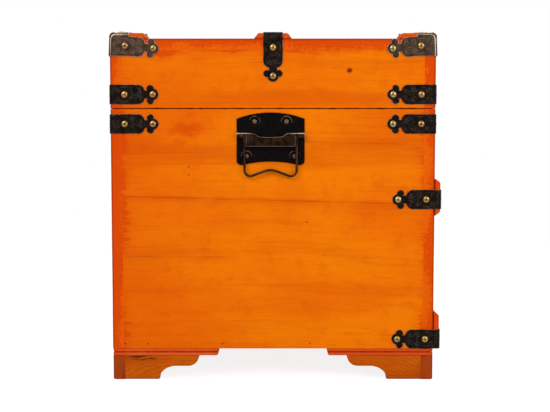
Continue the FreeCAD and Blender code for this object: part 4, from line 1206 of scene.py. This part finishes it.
def bail(node, material):
    """Bent wire grip, its pins in the saddle's ears, with painted highlight lines along its sides."""
    low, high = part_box(node)
    pin_end = (high.y - low.y) / 2
    depth = high.z - low.z - 2 * WIRE_RADIUS
    corner = BAIL_LOBE * (1 - math.tan(BAIL_SLOPE) - 1 / math.cos(BAIL_SLOPE)) - depth
    crest = corner + BAIL_SPAN * math.tan(BAIL_SLOPE)
    right = [(pin_end, 0), (BAIL_SPAN, 0), (BAIL_SPAN, corner)]
    points = [*right, (0, crest), *[(-x, y) for x, y in reversed(right)]]
    bar = wire(bent([Vector((x, y, 0)) for x, y in points], BAIL_BENDS), WIRE_RADIUS)
    # painted highlight: light lines along the wire's two sides, as seen from the chest's end
    mark_wear_and_painted_light(bar, lambda co: 0.6 if abs(co.z) < WIRE_RADIUS * 0.3 else 0.0)
    place = end_basis(node, abs(low.x + high.x) / 2 + END_X)
    add_piece(node, moved(bar, place @ Matrix.Translation((0, -WIRE_RADIUS, 0))), material)


# -------- fittings
def fittings():
    iron = lacquered_iron("black_iron", (14, 9, 7), (36, 27, 21), (150, 132, 116))
    lacquer = lacquered_iron("black_lacquer", (6, 4, 4), (16, 11, 9), (120, 104, 96))
    caps = aged_metal("antique_caps", 0.36, (50, 37, 28), (80, 61, 48), (206, 188, 168))
    bronze = aged_metal("dark_bronze", 0.3, (22, 14, 8), (54, 36, 22), (222, 200, 176))
    bails = aged_metal("wire_bronze", 0.26, (40, 24, 14), (76, 50, 32), (170, 140, 112))
    screws = aged_metal("screw_bronze", 0.3, (70, 46, 34), (120, 88, 66), (196, 160, 128))
    brass = (
        aged_metal("brass_dark", 0.2, (66, 46, 16), (112, 82, 34), (204, 172, 112)),
        aged_metal("brass_olive", 0.18, (72, 58, 24), (118, 98, 48), (212, 192, 140)),
        aged_metal("brass_red", 0.21, (70, 43, 18), (120, 76, 37), (206, 166, 114)),
    )
    for place in ("body_corner", "upper_batten", "lower_batten", "lid_corner", "lid_middle"):
        straps(place + "_straps", iron)
    corner_caps(caps)
    heads("body_nails", nail, *brass)
    heads("lid_nails", nail, *brass)
    heads("body_screws", screw, screws)
    heads("lid_screws", screw, screws)
    for side in ("left", "right"):
        handle_plate("handle_plate_" + side, lacquer)
        saddle("handle_saddle_" + side, bronze)
        bail("bail_" + side, bails)
        for part in ("body_leaf", "lid_leaf", "pin"):
            eased(f"hinge_{part}_{side}", iron, FITTING_EASE)
    for node in ("staple_plate", "staple", "hasp_leaf", "hasp_pin", "hasp_flap"):
        eased(node, iron, FITTING_EASE)


# -------- studio
CAMERA_LENS = 66.1
CAMERA_SENSOR = 36
CAMERA_PITCH = math.radians(3.9)
CAMERA_DISTANCE = 1400 * MM
CAMERA_HEIGHT = 339.8 * MM
CAMERA_SIDE = -2.8 * MM
FLOOR_RADIUS = 40.0
FLOOR_LIT = (0.8, 0.8, 0.8, 1)
FLOOR_SHADED = (0.28, 0.28, 0.28, 1)  # the part of the white that shadows take away
FLOOR_GLOW = 0.86
AMBIENT = 0.27
SOFTBOXES = (
    ("key", (-2.3, 1.3, 1.9), (1.6, 1.2), 38),
    ("fill", (-2.0, -1.7, 1.1), (1.6, 1.2), 21),
    ("back_key", (2.3, -1.3, 1.9), (1.6, 1.2), 38),
    ("back_fill", (2.0, 1.7, 1.1), (1.6, 1.2), 21),
    ("top", (0, MIDDLE_Y, 2.6), (2.0, 1.6), 25),
)
AIM = Vector((0, MIDDLE_Y, 0.25))


def seen_directly(s):
    """One for camera, glossy and transmission rays, which show the white background."""
    path = s.add("LightPath").outputs
    shown = s.math("MAXIMUM", path["Is Camera Ray"], path["Is Glossy Ray"])
    return s.math("MAXIMUM", shown, path["Is Transmission Ray"])


def camera():
    data = bpy.data.cameras.new("camera")
    data.lens = CAMERA_LENS
    data.sensor_width = CAMERA_SENSOR
    eye = new_object("camera", data)
    eye.location = (END_X - CAMERA_DISTANCE, MIDDLE_Y + CAMERA_SIDE, CAMERA_HEIGHT)
    eye.rotation_euler = (math.pi / 2 - CAMERA_PITCH, 0, -math.pi / 2)
    bpy.context.scene.camera = eye


def softbox(name, place, size, power):
    """Rectangular lamp that faces the chest."""
    data = bpy.data.lights.new(name, "AREA")
    data.shape = "RECTANGLE"
    data.size, data.size_y = size
    data.energy = power
    lamp = new_object(name, data)
    lamp.location = place
    lamp.rotation_euler = (AIM - Vector(place)).to_track_quat("-Z", "Y").to_euler()


def pale_floor():
    """Floor that keeps the chest's shadow and turns plain white further off."""
    bm = bmesh.new()
    bmesh.ops.create_circle(bm, cap_ends=True, segments=64, radius=FLOOR_RADIUS)
    mesh = mesh_of(bm, "floor")
    material, s = new_material("pale_floor")
    mesh.materials.append(material)
    x, y, _ = s.split(s.add("TexCoord").outputs["Object"])
    far = s.smooth(s.distance(x, y), 0.7, 1.8)
    lit = s.add("BsdfDiffuse", {"Color": FLOOR_LIT})
    shaded = s.add("BsdfDiffuse", {"Color": FLOOR_SHADED})
    glow = s.add("Emission", {"Color": WHITE, "Strength": FLOOR_GLOW})
    near = s.add("AddShader", {0: shaded.outputs[0], 1: glow.outputs[0]})
    white = s.add("Emission", {"Color": WHITE, "Strength": 1.0})
    shown = s.add("MixShader", {0: far, 1: near.outputs[0], 2: white.outputs[0]})
    whole = s.add("MixShader", {0: seen_directly(s), 1: lit.outputs[0], 2: shown.outputs[0]})
    s.add("OutputMaterial", {"Surface": whole.outputs[0]})
    new_object("floor", mesh)


def studio():
    """White background with softer light of its own, the floor and the lamps."""
    world = bpy.data.worlds.new("studio")
    bpy.context.scene.world = world
    world.use_nodes = True
    s = Shader(world.node_tree)
    strength = s.smooth(seen_directly(s), 0, 1, AMBIENT, 1.0)
    sky = s.add("Background", {"Color": WHITE, "Strength": strength})
    s.add("OutputWorld", {"Surface": sky.outputs[0]})
    pale_floor()
    for lamp in SOFTBOXES:
        softbox(*lamp)


boards()
fittings()
camera()
studio()
bpy.context.scene.view_settings.view_transform = "Standard"
